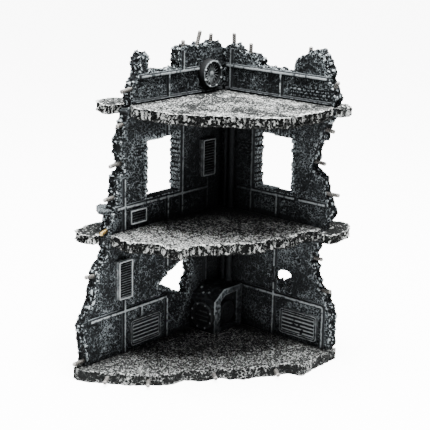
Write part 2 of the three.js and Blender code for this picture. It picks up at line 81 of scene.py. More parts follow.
BOARDS = {
    "left": np.array([[0, 1, 0], [0, 0, 1], [1, 0, 0]], float),
    "right": np.array([[1, 0, 0], [0, 0, 1], [0, -1, 0]], float),
    "floor": np.eye(3),
}


def stand_up(points, board):
    """Board coordinates (u, v, w) to the frame: the corner plus u, v and w times the board's axes."""
    return points @ BOARDS[board] + CORNER


def lay_flat(points, board):
    """The way back: the frame's millimetres to board coordinates."""
    return (points - CORNER) @ BOARDS[board].T


def board_box(node, board):
    """A node's box on a drawing board: its lowest and highest (u, v, w)."""
    ends = lay_flat(np.array([low(node), high(node)]), board)
    return ends.min(axis=0), ends.max(axis=0)


print("wall", WALL, "floors", FLOOR_1, FLOOR_2, "slab", SLAB)

# %% [markdown]
# ## Noise made by hand
# Broken resin is never regular. Three kinds of noise are enough: smooth noise for swells,
# its fold for plaster ridges, and cells for stones. Each starts from a hash, which turns whole
# numbers into a fixed scatter, so the ruin is the same every time.

# %% Hash and smooth noise
def scatter(ix, iy, iz=0, seed=0):
    """A fixed pseudo-random number in 0..1 for each whole-number place, by mixing its bits."""
    n = (np.asarray(ix, np.int64) * 374761393 + np.asarray(iy, np.int64) * 668265263
         + np.asarray(iz, np.int64) * 974634777 + seed * 144269504) & 0xFFFFFFFF
    n = ((n ^ (n >> 13)) * 1274126177) & 0xFFFFFFFF
    n = ((n ^ (n >> 15)) * 2246822519) & 0xFFFFFFFF
    return ((n ^ (n >> 16)) & 0xFFFFFF) / 0xFFFFFF


def swell(x, y, size, seed=0):
    """Smooth noise in 0..1: scattered values at grid corners, blended by 3t^2 - 2t^3."""
    x = np.asarray(x, float) / size
    y = np.asarray(y, float) / size
    ix, iy = np.floor(x).astype(np.int64), np.floor(y).astype(np.int64)
    tx, ty = x - ix, y - iy
    tx, ty = tx * tx * (3 - 2 * tx), ty * ty * (3 - 2 * ty)
    near = scatter(ix, iy, 0, seed) * (1 - tx) + scatter(ix + 1, iy, 0, seed) * tx
    far = scatter(ix, iy + 1, 0, seed) * (1 - tx) + scatter(ix + 1, iy + 1, 0, seed) * tx
    return near * (1 - ty) + far * ty


def ridges(x, y, size, seed=0):
    """Folded noise: 1 where the smooth noise crosses its middle, falling to 0 on both sides."""
    return 1 - np.minimum(1, np.abs(2 * swell(x, y, size, seed) - 1) * 2.4)


# %% Stones: cell noise in the plane and in space
def stones(x, y, size, seed=0):
    """Cell noise: the distance to the nearest and second nearest of one scattered point per
    square. Returns how far inside its own stone a place is (0 in the joint, 1 in the middle)
    and a fixed number for that stone."""
    x = np.asarray(x, float) / size
    y = np.asarray(y, float) / size
    ix, iy = np.floor(x).astype(np.int64), np.floor(y).astype(np.int64)
    first = np.full(x.shape, 9.0)
    second = np.full(x.shape, 9.0)
    own = np.zeros(x.shape)
    for dx in (-1, 0, 1):
        for dy in (-1, 0, 1):
            cx, cy = ix + dx, iy + dy
            px = cx + 0.15 + 0.7 * scatter(cx, cy, 1, seed)
            py = cy + 0.15 + 0.7 * scatter(cx, cy, 2, seed)
            away = np.hypot(px - x, py - y)
            closer = away < first
            second = np.where(closer, first, np.minimum(second, away))
            own = np.where(closer, scatter(cx, cy, 3, seed), own)
            first = np.where(closer, away, first)
    return np.clip((second - first) * 1.6, 0, 1), own


def lumps(points, size, seed=0):
    """The same cell noise in space, for broken faces: 0 in a crack, 1 on a lump, and a fixed
    number for each lump."""
    p = points / np.asarray(size, float)
    cell = np.floor(p).astype(np.int64)
    first = np.full(len(p), 9.0)
    second = np.full(len(p), 9.0)
    own = np.zeros(len(p))
    for step in np.ndindex(3, 3, 3):
        c = cell + np.array(step) - 1
        jitter = np.stack([scatter(*c.T, seed + k) for k in (11, 12, 13)], axis=1)
        away = np.linalg.norm(c + 0.15 + 0.7 * jitter - p, axis=1)
        closer = away < first
        second = np.where(closer, first, np.minimum(second, away))
        own = np.where(closer, scatter(*c.T, seed + 14), own)
        first = np.where(closer, away, first)
    return np.clip((second - first) * 1.6, 0, 1), own


def ease(x, start, end):
    """0 before start, 1 after end, and 3t^2 - 2t^3 between."""
    t = np.clip((np.asarray(x, float) - start) / (end - start), 0, 1)
    return t * t * (3 - 2 * t)


print("stones run from", stones(np.linspace(0, 9, 50), 0.0, 2)[0].min(), "to 1")

# %% [markdown]
# ## From arrays to a mesh
# Every piece ends in the same place: points in millimetres, faces, and three numbers on each
# point. *relief* says how proud it stands, *wear* says how broken and bright it is, and the
# third says how well a brush could reach it, together with painted shade. The brush cannot get
# into the inside corner of the walls or up under a floor, and shade falls there too, so both
# keep those places almost black.

# %% How far the brush reaches, with painted shade
OUTSIDE_REACH = 0.92


def brush_reach_and_shade(points):
    """Brush reach together with painted shade: 1 in the open, falling towards 0 in the inside
    corner, along the feet of the walls and close under the floor slabs, where the brush could not
    reach and where shade falls. Each fall is an eased distance, and they are multiplied. The
    floors are darker near the walls, partly painted shade from the storeys above, and the right
    wall is darker towards its open end, which is painted shade."""
    x, y, z = (points - CORNER).T
    depth = np.maximum(0.0, np.minimum(x, -y))
    across = np.hypot(np.maximum(x, 0), np.maximum(-y, 0))
    inside = (x > -0.8) & (y < 0.8)
    covered = z < FLOOR_2 - 1
    ground = z < FLOOR_1 - 1
    storey_top = np.where(ground, FLOOR_1 - SLAB, FLOOR_2 - SLAB)
    storey_foot = np.where(ground, 0.0, np.where(covered, FLOOR_1, FLOOR_2))
    rise = np.abs(z - storey_foot)
    reach = np.where(ground & (rise < 3), 38.0, 62.0)
    # Darker into the inside corner: scant brushing and painted shade.
    corner = np.where(covered, 0.08 + 0.92 * ease(across, 6, reach),
                      0.45 + 0.55 * ease(across, 4, 30))
    # Darker close under a slab: painted shade from the slab above.
    under_slab_shade = np.where(covered, 0.55 + 0.45 * ease(storey_top - z, 0, 18), 1.0)
    # Darker along the feet of the walls: scant brushing and painted shade.
    foot = 0.5 + 0.5 * ease(rise + 0.8 * depth, 0.5, 9)
    open_end = 0.4 * np.maximum(0, across - 35)
    # Floor tops darker near the walls: scant brushing and painted shade from the storeys above.
    level = np.where(ground, 0.38 + 0.5 * ease(depth + open_end, 0, 18),
                     0.2 + 0.8 * ease(depth + open_end, 2, 26))
    floor = np.where(covered & (rise < 3), level, 1.0)
    # The right wall darker towards its open end: painted shade.
    right_wall_shade = np.where(covered & (y > -2), 1 - 0.25 * ease(x, 25, 65), 1.0)
    return np.where(inside, corner * under_slab_shade * foot * floor * right_wall_shade, OUTSIDE_REACH)


# %% Put a piece into the scene
def put(name, points, faces, relief, wear=0.0, brush_and_shade=None, finish=None, stands_for=()):
    """Makes the mesh in metres, stores relief, wear, and brush reach with painted shade on its points,
    and rides it.
    """
    mesh = bpy.data.meshes.new(name)
    face_lists = faces.tolist() if hasattr(faces, "tolist") else faces
    mesh.from_pydata((points * MM).tolist(), [], face_lists)
    if brush_and_shade is None:
        brush_and_shade = brush_reach_and_shade(points)
    values = {"relief": relief, "wear": wear, "brush_and_shade": brush_and_shade}
    for key, value in values.items():
        column = np.ascontiguousarray(np.broadcast_to(value, len(points)), dtype=np.float32)
        mesh.attributes.new(key, "FLOAT", "POINT").data.foreach_set("value", column)
    mesh.polygons.foreach_set("use_smooth", np.ones(len(mesh.polygons), bool))
    if finish:
        mesh.materials.append(finish)
    mesh.update()
    piece = bpy.data.objects.new(name, mesh)
    bpy.context.scene.collection.objects.link(piece)
    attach(piece, "root")
    if stands_for:
        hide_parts(*stands_for)
    print(f"{name}: {len(points)} points, {len(mesh.polygons)} faces")
    return piece

# %% [markdown]
# ## Paint
# One node group does the drybrush. It takes the relief of the surface, breaks it up with a
# fine grain, adds painted light on faces that look up, scales it by how far the brush reached
# and by painted shade, and turns it into three coats: the dark base, a mid grey, and the pale
# last pass on the crests. Another group makes the fine tooth of the resin for the bump.

# %% A small helper for node trees
def wire(tree, kind, inputs=None, **settings):
    """Adds a node, sets its properties, and fills or links its inputs."""
    node = tree.nodes.new(kind)
    for key, value in settings.items():
        setattr(node, key, value)
    for key, value in (inputs or {}).items():
        if isinstance(value, bpy.types.NodeSocket):
            tree.links.new(value, node.inputs[key])
        else:
            node.inputs[key].default_value = value
    return node


def new_group(name, inputs, outputs):
    """An empty node group with its named inputs and outputs, and its two end nodes."""
    tree = bpy.data.node_groups.new(name, "ShaderNodeTree")
    for label, kind, value in inputs:
        socket = tree.interface.new_socket(label, in_out="INPUT", socket_type=kind)
        if value is not None:
            socket.default_value = value
    for label, kind in outputs:
        tree.interface.new_socket(label, in_out="OUTPUT", socket_type=kind)
    return tree, tree.nodes.new("NodeGroupInput"), tree.nodes.new("NodeGroupOutput")


# %% The drybrush group, with painted light from above and painted shade
def make_drybrush_and_light():
    """A sum of what catches paint: relief, grain, thin veins between cells, and facing up, which is
    partly paint dragged from above and partly painted light from above. Past the first threshold
    the mid grey shows, past the second the pale grey, which is heavier on worn edges; both are
    scaled by brush reach with painted shade. Load moves both thresholds."""
    floats = "NodeSocketFloat"
    colours = "NodeSocketColor"
    tree, given, out = new_group("drybrush_and_painted_light", [
        ("Relief", floats, 0.5), ("Wear", floats, 0.0), ("Brush", floats, 1.0), ("Load", floats, 0.0),
        ("Grain", floats, 0.35), ("Grain Scale", floats, 900.0), ("Veins", floats, 0.4),
        ("Vein Scale", floats, 560.0), ("Place", "NodeSocketVector", None),
        ("Facing", "NodeSocketVector", None), ("Base", colours, (0.01, 0.011, 0.012, 1)),
        ("Mid", colours, (0.08, 0.085, 0.09, 1)), ("Pale", colours, (0.4, 0.42, 0.44, 1))],
        [("Color", colours), ("Paint", floats), ("Height", floats)])
    g = given.outputs
    grain = wire(tree, "ShaderNodeTexNoise", {"Vector": g["Place"], "Scale": g["Grain Scale"],
                                             "Detail": 2.5, "Roughness": 0.65, "Distortion": 0.6})
    centred = wire(tree, "ShaderNodeMath", {0: grain.outputs["Fac"], 1: 0.5}, operation="SUBTRACT")
    lifted = wire(tree, "ShaderNodeMath", {0: centred.outputs[0], 1: g["Grain"], 2: g["Relief"]},
                  operation="MULTIPLY_ADD")
    sway = wire(tree, "ShaderNodeTexNoise", {"Vector": g["Place"], "Scale": 420.0, "Detail": 1.0})
    bent = wire(tree, "ShaderNodeVectorMath", {0: sway.outputs["Color"], 1: (0.0026, 0.0026, 0.0026),
                                               2: g["Place"]}, operation="MULTIPLY_ADD")
    cells = wire(tree, "ShaderNodeTexVoronoi", {"Vector": bent.outputs[0], "Scale": g["Vein Scale"]},
                 feature="DISTANCE_TO_EDGE")
    vein = wire(tree, "ShaderNodeMapRange", {"Value": cells.outputs["Distance"], "From Min": 0.02,
                                             "From Max": 0.26, "To Min": 0.6, "To Max": -0.4})
    height = wire(tree, "ShaderNodeMath", {0: vein.outputs[0], 1: g["Veins"], 2: lifted.outputs[0]},
                  operation="MULTIPLY_ADD")
    loaded = wire(tree, "ShaderNodeMath", {0: height.outputs[0], 1: g["Load"]}, operation="ADD")
    worn = wire(tree, "ShaderNodeMath", {0: g["Wear"], 1: 0.16, 2: loaded.outputs[0]},
                operation="MULTIPLY_ADD")
    # Faces that look up take more paint: partly paint dragged from above, partly painted light from
    # above.
    upward = wire(tree, "ShaderNodeSeparateXYZ", {0: g["Facing"]})
    swept_and_lit_from_above = wire(tree, "ShaderNodeMath", {0: upward.outputs["Z"], 1: 0.12, 2: worn.outputs[0]},
                 operation="MULTIPLY_ADD")
    first = wire(tree, "ShaderNodeMapRange", {"Value": swept_and_lit_from_above.outputs[0], "From Min": 0.34,
                                              "From Max": 0.74}, interpolation_type="SMOOTHSTEP")
    last = wire(tree, "ShaderNodeMapRange", {"Value": swept_and_lit_from_above.outputs[0], "From Min": 0.6,
                                             "From Max": 0.98}, interpolation_type="SMOOTHSTEP")
    first_on = wire(tree, "ShaderNodeMath", {0: first.outputs[0], 1: g["Brush"]}, operation="MULTIPLY")
    heavy = wire(tree, "ShaderNodeMapRange", {"Value": g["Wear"], "To Min": 0.42, "To Max": 1.0})
    brush_and_shade_pow = wire(tree, "ShaderNodeMath", {0: g["Brush"], 1: 1.5}, operation="POWER")
    pressure_and_shade = wire(tree, "ShaderNodeMath", {0: heavy.outputs[0], 1: brush_and_shade_pow.outputs[0]},
                   operation="MULTIPLY")
    last_on = wire(tree, "ShaderNodeMath", {0: last.outputs[0], 1: pressure_and_shade.outputs[0]},
                   operation="MULTIPLY")
    coat = wire(tree, "ShaderNodeMix", {"Factor": first_on.outputs[0], "A": g["Base"], "B": g["Mid"]},
                data_type="RGBA")
    top = wire(tree, "ShaderNodeMix", {"Factor": last_on.outputs[0], "A": coat.outputs["Result"],
                                       "B": g["Pale"]}, data_type="RGBA")
    tree.links.new(top.outputs["Result"], out.inputs["Color"])
    tree.links.new(last_on.outputs[0], out.inputs["Paint"])
    tree.links.new(height.outputs[0], out.inputs["Height"])
    return tree


DRYBRUSH_AND_LIGHT = make_drybrush_and_light()
print("drybrush inputs:", [s.name for s in DRYBRUSH_AND_LIGHT.interface.items_tree if s.in_out == "INPUT"])

# %% The tooth of cast resin
def make_tooth():
    """Height for a bump: fine noise for the sandy skin of a casting, plus sparse pinholes
    where a bubble sat against the mould."""
    floats = "NodeSocketFloat"
    tree, given, out = new_group("resin_tooth", [
        ("Place", "NodeSocketVector", None), ("Scale", floats, 1400.0), ("Pinholes", floats, 0.5)],
        [("Height", floats)])
    g = given.outputs
    sand = wire(tree, "ShaderNodeTexNoise", {"Vector": g["Place"], "Scale": g["Scale"], "Detail": 3.0})
    bubble = wire(tree, "ShaderNodeTexVoronoi", {"Vector": g["Place"], "Scale": 700.0})
    hole = wire(tree, "ShaderNodeMapRange", {"Value": bubble.outputs["Distance"], "From Min": 0.06,
                                             "From Max": 0.16, "To Min": 1.0, "To Max": 0.0})
    deep = wire(tree, "ShaderNodeMath", {0: hole.outputs[0], 1: g["Pinholes"]}, operation="MULTIPLY")
    height = wire(tree, "ShaderNodeMath", {0: sand.outputs["Fac"], 1: deep.outputs[0]},
                  operation="SUBTRACT")
    tree.links.new(height.outputs[0], out.inputs["Height"])
    return tree


TOOTH = make_tooth()

# %% [markdown]
# Each finish is the same recipe with its own colours: the walls are near black with a cool
# grey brush, the floors are brushed harder with a much paler grey, partly painted light on the
# tops, and the metal trim gets a more even coat. The steel and brass rods are bare metal with a
# brown wash, so their paint is thin and they still shine.

# %% One recipe, many finishes
def painted(name, base, mid, pale, load, grain=0.55, grain_scale=900.0, veins=0.5, vein_scale=560.0,
            roughness=(0.85, 0.6), metallic=0.0, bump=0.8, specular=0.2):
    """A Principled surface: drybrush colour, roughness falling where paint sits, and a bump
    from the same grain that caught the paint plus the tooth of the casting."""
    finish = bpy.data.materials.new(name)
    finish.use_nodes = True
    tree = finish.node_tree
    shader = tree.nodes["Principled BSDF"]
    place = wire(tree, "ShaderNodeTexCoord").outputs
    read = {key: wire(tree, "ShaderNodeAttribute", attribute_name=key).outputs["Fac"]
            for key in ("relief", "wear", "brush_and_shade")}
    brush_and_shade = tree.nodes.new("ShaderNodeGroup")
    brush_and_shade.node_tree = DRYBRUSH_AND_LIGHT
    for socket, value in (("Relief", read["relief"]), ("Wear", read["wear"]), ("Brush", read["brush_and_shade"]),
                          ("Place", place["Object"]), ("Facing", place["Normal"])):
        tree.links.new(value, brush_and_shade.inputs[socket])
    for socket, value in (("Load", load), ("Grain", grain), ("Grain Scale", grain_scale),
                          ("Veins", veins), ("Vein Scale", vein_scale)):
        brush_and_shade.inputs[socket].default_value = value
    for socket, value in (("Base", base), ("Mid", mid), ("Pale", pale)):
        brush_and_shade.inputs[socket].default_value = (*value, 1.0)
    tooth = tree.nodes.new("ShaderNodeGroup")
    tooth.node_tree = TOOTH
    tree.links.new(place["Object"], tooth.inputs["Place"])
    gloss = wire(tree, "ShaderNodeMapRange", {"Value": brush_and_shade.outputs["Paint"],
                                              "To Min": roughness[0], "To Max": roughness[1]})
    rough = wire(tree, "ShaderNodeMath", {0: tooth.outputs["Height"], 1: 0.25,
                                          2: brush_and_shade.outputs["Height"]}, operation="MULTIPLY_ADD")
    raised = wire(tree, "ShaderNodeBump", {"Height": rough.outputs[0], "Strength": bump,
                                           "Distance": 0.0003})
    tree.links.new(brush_and_shade.outputs["Color"], shader.inputs["Base Color"])
    tree.links.new(gloss.outputs[0], shader.inputs["Roughness"])
    tree.links.new(raised.outputs["Normal"], shader.inputs["Normal"])
    shader.inputs["Metallic"].default_value = metallic
    shader.inputs["Specular IOR Level"].default_value = specular
    return finish


FINISH = {
    "walls": painted("cast_resin_walls", (0.0014, 0.002, 0.0026), (0.024, 0.03, 0.034),
                     (0.42, 0.47, 0.49), load=-0.13, grain=0.75, veins=0.85, vein_scale=620.0),
    # The floors' pale grey, far brighter than the walls', is partly painted light on the tops.
    "floors": painted("cast_resin_floors", (0.002, 0.0026, 0.0026), (0.042, 0.045, 0.044),
                      (0.95, 0.97, 0.95), load=0.04, grain=1.7, grain_scale=620.0, veins=0.8,
                      vein_scale=520.0),
    "framing": painted("wall_framing", (0.0025, 0.0032, 0.004), (0.06, 0.07, 0.076),
                       (0.42, 0.45, 0.46), load=0.04, grain=0.35, veins=0.05),
    "vents": painted("vents", (0.0022, 0.0027, 0.0032), (0.08, 0.09, 0.095), (0.46, 0.49, 0.5),
                     load=0.02, grain=0.35, veins=0.05),
    "steel": painted("steel_rods", (0.035, 0.033, 0.03), (0.13, 0.124, 0.115), (0.45, 0.44, 0.42),
                     load=0.0, roughness=(0.5, 0.38), metallic=0.3, specular=0.5, veins=0.1),
    "brass": painted("brass_rod", (0.16, 0.1, 0.03), (0.42, 0.28, 0.09), (0.75, 0.6, 0.3),
                     load=0.1, roughness=(0.45, 0.3), metallic=0.8, specular=0.5, veins=0.1),
}
print("finishes:", ", ".join(FINISH))

# %% [markdown]
# ## Cutting a sheet to an outline
# A wall panel, a floor slab, a rail and a louvred vent are all the same thing: a sheet with
# some outline, a front that rises and falls, and an edge. So one function makes them all. It
# lays a lattice over the sheet, keeps the squares inside the outline, pulls the ragged
# boundary onto the true line, lifts the front and the back by their own height functions,
# and joins them with rows of points down the edge, which can be pitted like broken stone.
# A subdivided box with a Displace modifier would be quicker to write, but its edge would stay
# a straight cut, and the broken edge is what makes the ruin.

# %% Reading an outline from the frame
FLAT_WITHIN = 0.03
HUNDREDTHS = 100
CODE_BASE = 32768
CODE_MIDDLE = CODE_BASE // 2


def node_points(node):
    """The points of a node's own mesh, in millimetres."""
    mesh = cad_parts[node].data
    points = np.empty(len(mesh.vertices) * 3)
    mesh.vertices.foreach_get("co", points)
    return points.reshape(-1, 3) / MM


def outline_of(node, board, level):
    """The straight edges round a node's flat face at one level of its drawing board. The
    face's triangles are gathered, each edge's four numbers in hundredths of a millimetre are
    packed into one whole number, and an edge whose reverse is missing is on the outline."""
    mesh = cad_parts[node].data
    mesh.calc_loop_triangles()
    corners = np.empty(len(mesh.loop_triangles) * 3, np.int32)
    mesh.loop_triangles.foreach_get("vertices", corners)
    triangles = lay_flat(node_points(node), board)[corners.reshape(-1, 3)]
    flat = triangles[np.abs(triangles[:, :, 2] - level).max(axis=1) < FLAT_WITHIN][:, :, :2]
    steps = np.round(flat * HUNDREDTHS).astype(np.int64) + CODE_MIDDLE
    edges = np.concatenate([steps, np.roll(steps, -1, axis=1)], axis=2).reshape(-1, 4)
    code = edges @ (CODE_BASE ** np.arange(4))
    reverse = edges[:, [2, 3, 0, 1]] @ (CODE_BASE ** np.arange(4))
    alone = edges[~np.isin(code, reverse)]
    return ((alone - CODE_MIDDLE) / HUNDREDTHS).reshape(-1, 2, 2)


def closed_loop(points):
    """The edges of a closed outline drawn from listed points: each point joined to the next."""
    points = np.array(points, float)
    return np.stack([points, np.roll(points, -1, axis=0)], axis=1)


def off_edge(u, v, outline):
    """Signed distance to the nearest edge, negative inside. A place is inside when a level
    ray from it crosses an odd number of edges."""
    best = np.full(u.shape, 1e9)
    inside = np.zeros(u.shape, bool)
    for (au, av), (bu, bv) in outline:
        du, dv = bu - au, bv - av
        along = np.clip(((u - au) * du + (v - av) * dv) / (du * du + dv * dv), 0, 1)
        best = np.minimum(best, np.hypot(u - au - along * du, v - av - along * dv))
        if av != bv:
            inside ^= ((av > v) != (bv > v)) & (u < au + (v - av) * du / dv)
    return np.where(inside, -best, best)


print("first floor has", len(outline_of("first_floor", "floor", FLOOR_1)), "edges")

# %% The lattice and its boundary
def keep_squares(gap):
    """Squares whose corners average inside the outline. Lone squares go, and two squares that
    touch only at a corner get a third beside them, so that the boundary never crosses itself."""
    kept = (gap[:-1, :-1] + gap[1:, :-1] + gap[1:, 1:] + gap[:-1, 1:]) < 0
    kept[[0, -1], :] = False
    kept[:, [0, -1]] = False
    for _ in range(4):
        near = (np.roll(kept, 1, 0).astype(int) + np.roll(kept, -1, 0) + np.roll(kept, 1, 1)
                + np.roll(kept, -1, 1))
        kept &= near > 1
        a, b, c, d = kept[:-1, :-1], kept[1:, :-1], kept[1:, 1:], kept[:-1, 1:]
        falling = a & c & ~b & ~d
        rising = b & d & ~a & ~c
        kept[1:, :-1] |= falling
        kept[:-1, :-1] |= rising
    return kept


def rim_edges(kept):
    """Directed lattice edges with a kept square on the left and none on the right."""
    wide = np.pad(kept, 1)
    here = wide[1:-1, 1:-1]
    sides = [(wide[1:-1, :-2], (0, 0), (1, 0)), (wide[2:, 1:-1], (1, 0), (1, 1)),
             (wide[1:-1, 2:], (1, 1), (0, 1)), (wide[:-2, 1:-1], (0, 1), (0, 0))]
    starts, ends = [], []
    for beside, start, end in sides:
        i, j = np.nonzero(here & ~beside)
        starts.append(np.stack([i + start[0], j + start[1]], axis=1))
        ends.append(np.stack([i + end[0], j + end[1]], axis=1))
    return np.concatenate(starts), np.concatenate(ends)


# %% Pulling the boundary onto the true line
PULL_LIMIT = 0.75
LEAST_STEEP = 0.3


def pull_to_line(u, v, gap, rim, pitch):
    """Moves the boundary points along the slope of the distance, by the distance over its
    steepness and at most three quarters of a square. Returns the places, the distance and the
    outward direction."""
    slope_u, slope_v = np.gradient(gap, pitch)
    steep = np.maximum(np.hypot(slope_u, slope_v), LEAST_STEEP)
    out_u, out_v = slope_u / steep, slope_v / steep
    shift = np.clip(-gap / steep, -PULL_LIMIT * pitch, PULL_LIMIT * pitch)
    u = np.where(rim, u + shift * out_u, u)
    v = np.where(rim, v + shift * out_v, v)
    return u, v, np.where(rim, 0.0, np.minimum(gap, 0.0)), out_u, out_v


def corners_of(kept, shape):
    """Marks every lattice point that is a corner of a kept square."""
    used = np.zeros(shape, bool)
    for di in (0, 1):
        for dj in (0, 1):
            used[di:di + kept.shape[0], dj:dj + kept.shape[1]] |= kept
    return used


def numbered(marked):
    """Numbers the marked places from 0 on, with -1 everywhere else."""
    index = np.full(marked.shape, -1)
    index[marked] = np.arange(marked.sum())
    return index


# %% The faces of a sheet
def sheet_faces(kept, starts, ends, index, rim_index, count, rows):
    """Squares on the front, the same squares reversed on the back, and a ladder of squares
    down the edge between each two neighbours on the boundary."""
    i, j = np.nonzero(kept)
    face = np.stack([index[i, j], index[i + 1, j], index[i + 1, j + 1], index[i, j + 1]], axis=1)

    def column(at):
        first = index[at[:, 0], at[:, 1]][:, None]
        own = 2 * count + rim_index[at[:, 0], at[:, 1]][:, None] * (rows - 1) + np.arange(rows - 1)
        return np.concatenate([first, own, first + count], axis=1)

    a, b = column(starts), column(ends)
    edge = np.stack([b[:, :-1], a[:, :-1], a[:, 1:], b[:, 1:]], axis=2).reshape(-1, 4)
    return np.concatenate([face, face[:, ::-1] + count, edge])


# %% The sheet itself
def cut_sheet(outline, board, levels, pitch, front, back, ragged, bite, rows):
    """A closed sheet. levels are its back and front. front and back give (height, relief,
    wear) from (u, v, gap), where gap is the distance to the edge, negative inside. ragged
    shifts the edge, and bite gives (push, relief, wear) down the edge from (u, v, w)."""
    low_u, low_v = outline.min(axis=(0, 1)) - 3 * pitch
    high_u, high_v = outline.max(axis=(0, 1)) + 4 * pitch
    u, v = np.meshgrid(np.arange(low_u, high_u, pitch), np.arange(low_v, high_v, pitch),
                       indexing="ij")
    gap = off_edge(u, v, outline) + ragged(u, v)
    kept = keep_squares(gap)
    starts, ends = rim_edges(kept)
    rim = np.zeros(u.shape, bool)
    rim[starts[:, 0], starts[:, 1]] = True
    u, v, gap, out_u, out_v = pull_to_line(u, v, gap, rim, pitch)

    used = corners_of(kept, u.shape)
    index, rim_index, count = numbered(used), numbered(rim), used.sum()
    front_up, *front_looks = front(u[used], v[used], gap[used])
    back_up, *back_looks = back(u[used], v[used], gap[used])
    top = levels[1] + front_up
    foot = levels[0] - back_up

    share = np.linspace(0, 1, rows + 1)[1:-1]
    down = top[index[rim]][:, None] * (1 - share) + foot[index[rim]][:, None] * share
    along_u = np.broadcast_to(u[rim][:, None], down.shape)
    along_v = np.broadcast_to(v[rim][:, None], down.shape)
    push, *side_looks = bite(along_u, along_v, down)
    side = np.stack([along_u + push * out_u[rim][:, None], along_v + push * out_v[rim][:, None],
                     down], axis=2).reshape(-1, 3)

    points = np.concatenate([np.stack([u[used], v[used], top], axis=1),
                             np.stack([u[used], v[used], foot], axis=1), side])
    relief, wear = [np.concatenate([np.broadcast_to(on_front, count), np.broadcast_to(on_back, count),
                                    np.broadcast_to(on_side, down.shape).ravel()])
                    for on_front, on_back, on_side in zip(front_looks, back_looks, side_looks)]
    faces = sheet_faces(kept, starts, ends, index, rim_index, count, rows)
    return stand_up(points, board), faces, relief, wear

# %% [markdown]
# ## Plaster walls
# The walls are hammered plaster over stone: short curved ridges a millimetre or two long,
# with black between them. Folded noise read at bent places gives ridges that wander. Towards
# a broken edge the plaster gives way to crumbled stone, which catches most of the paint. It
# is real relief and not only a bump, because the brush finds it by its height.

# %% Plaster and rubble
SEAMS = (0.0, FLOOR_1 - SLAB / 2, FLOOR_2 - SLAB / 2)
BRICK_LONG = 3.4
BRICK_TALL = 2.0
BLOCK_TALL = 2.9
BLOCK_WIDE = 3.1


def plaster(u, v, seed):
    """Wandering ridges: folded noise read at places shifted by smoother noise, with the thin
    joints between small cells standing proud and swells of a few millimetres."""
    bend_u = u + 2.0 * swell(u, v, 2.3, seed + 1)
    bend_v = v + 2.0 * swell(u, v, 2.3, seed + 2)
    broad = ridges(bend_u, bend_v, 2.4, seed + 3)
    cell = stones(bend_u, bend_v, 2.1, seed + 5)[0]
    mound = swell(u, v, 5.0, seed + 6)
    thin = 0.4 * (swell(u, v, 13.0, seed + 7) - 0.5)
    return np.clip(0.2 + thin + 0.3 * broad + 0.35 * (1 - cell) * (0.3 + mound) - 0.1 * mound, 0, 1)


def crumble(u, v, seed):
    """Crumbled stone: lumps of two sizes with dark pits between, bent by smooth noise."""
    bend_u = u + 2.0 * swell(u, v, 2.1, seed + 1)
    bend_v = v + 2.0 * swell(u, v, 2.1, seed + 2)
    big, big_own = stones(bend_u, bend_v, 3.2, seed + 3)
    small, small_own = stones(bend_u, bend_v, 1.8, seed + 4)
    large = 0.75 * big * (0.35 + 0.8 * big_own)
    fine = 0.5 * small * (0.3 + 0.9 * small_own)
    return np.clip(large + fine - 0.08, 0, 1)


def from_seams(v):
    """Distance in height to the nearest joint between wall panels."""
    return np.min([np.abs(v - seam) for seam in SEAMS], axis=0)


def from_whole(x):
    """Distance to the nearest whole number: 0 in a joint, 0.5 in the middle of a block."""
    return np.abs(x - np.round(x))


def within_box(u, v, box):
    """Distance inside a rectangle (u0, u1, v0, v1) to its nearest side, negative outside."""
    u0, u1, v0, v1 = box
    return np.minimum(np.minimum(u - u0, u1 - u), np.minimum(v - v0, v1 - v))


def from_calm(u, v, calm):
    """0 inside the calm circle (u, v, radius), 1 from 3 mm outside it."""
    return ease(np.hypot(u - calm[0], v - calm[1]), calm[2], calm[2] + 3)


def bare_bricks(u, v, patch, up, relief, seed):
    """Where plaster fell off: brick courses set back into the wall, half a brick of shift
    from course to course, and a dark joint round each brick."""
    u0, _, v0, _ = patch
    worn = 2.4 * (swell(u, v, 3.0, seed) - 0.5)
    bare = ease(within_box(u, v, patch) + worn, 0, 0.7)
    height = (v - v0) / BRICK_TALL
    course = np.floor(height)
    along = (u - u0) / BRICK_LONG + 0.5 * (course % 2)
    inside = np.minimum(from_whole(along) * BRICK_LONG, from_whole(height) * BRICK_TALL)
    brick = ease(inside, 0.1, 0.55)
    tone = scatter(np.floor(along), course, 0, seed)
    up = up * (1 - bare) + bare * (-0.9 + 0.8 * brick)
    relief = relief * (1 - bare) + bare * brick * (0.4 + 0.6 * tone)
    return up, relief


def quoins(u, v, window, up, relief, seed):
    """Blocks round a window: a raised band cut into blocks by dark joints."""
    u0, u1, v0, v1 = window
    beyond = np.maximum(np.maximum(u0 - u, u - u1), np.maximum(v0 - v, v - v1))
    jamb = (v > v0) & (v < v1)
    along = np.where(jamb, (v - v0) / BLOCK_TALL, (u - u0) / BLOCK_WIDE + 0.3)
    deep = 2.3 + 0.9 * (scatter(np.floor(along), jamb, u > 0.5 * (u0 + u1), seed) - 0.5)
    band = 1 - ease(beyond, deep - 0.25, deep + 0.25)
    joint = ease(from_whole(along) * BLOCK_TALL, 0.1, 0.55)
    tone = 0.45 + 0.55 * scatter(np.floor(along), 3, 0, seed)
    up = up * (1 - band) + band * (-0.3 + 0.75 * joint)
    relief = relief * (1 - band) + band * joint * tone * (0.7 + 0.4 * swell(u, v, 0.9, seed))
    return up, relief


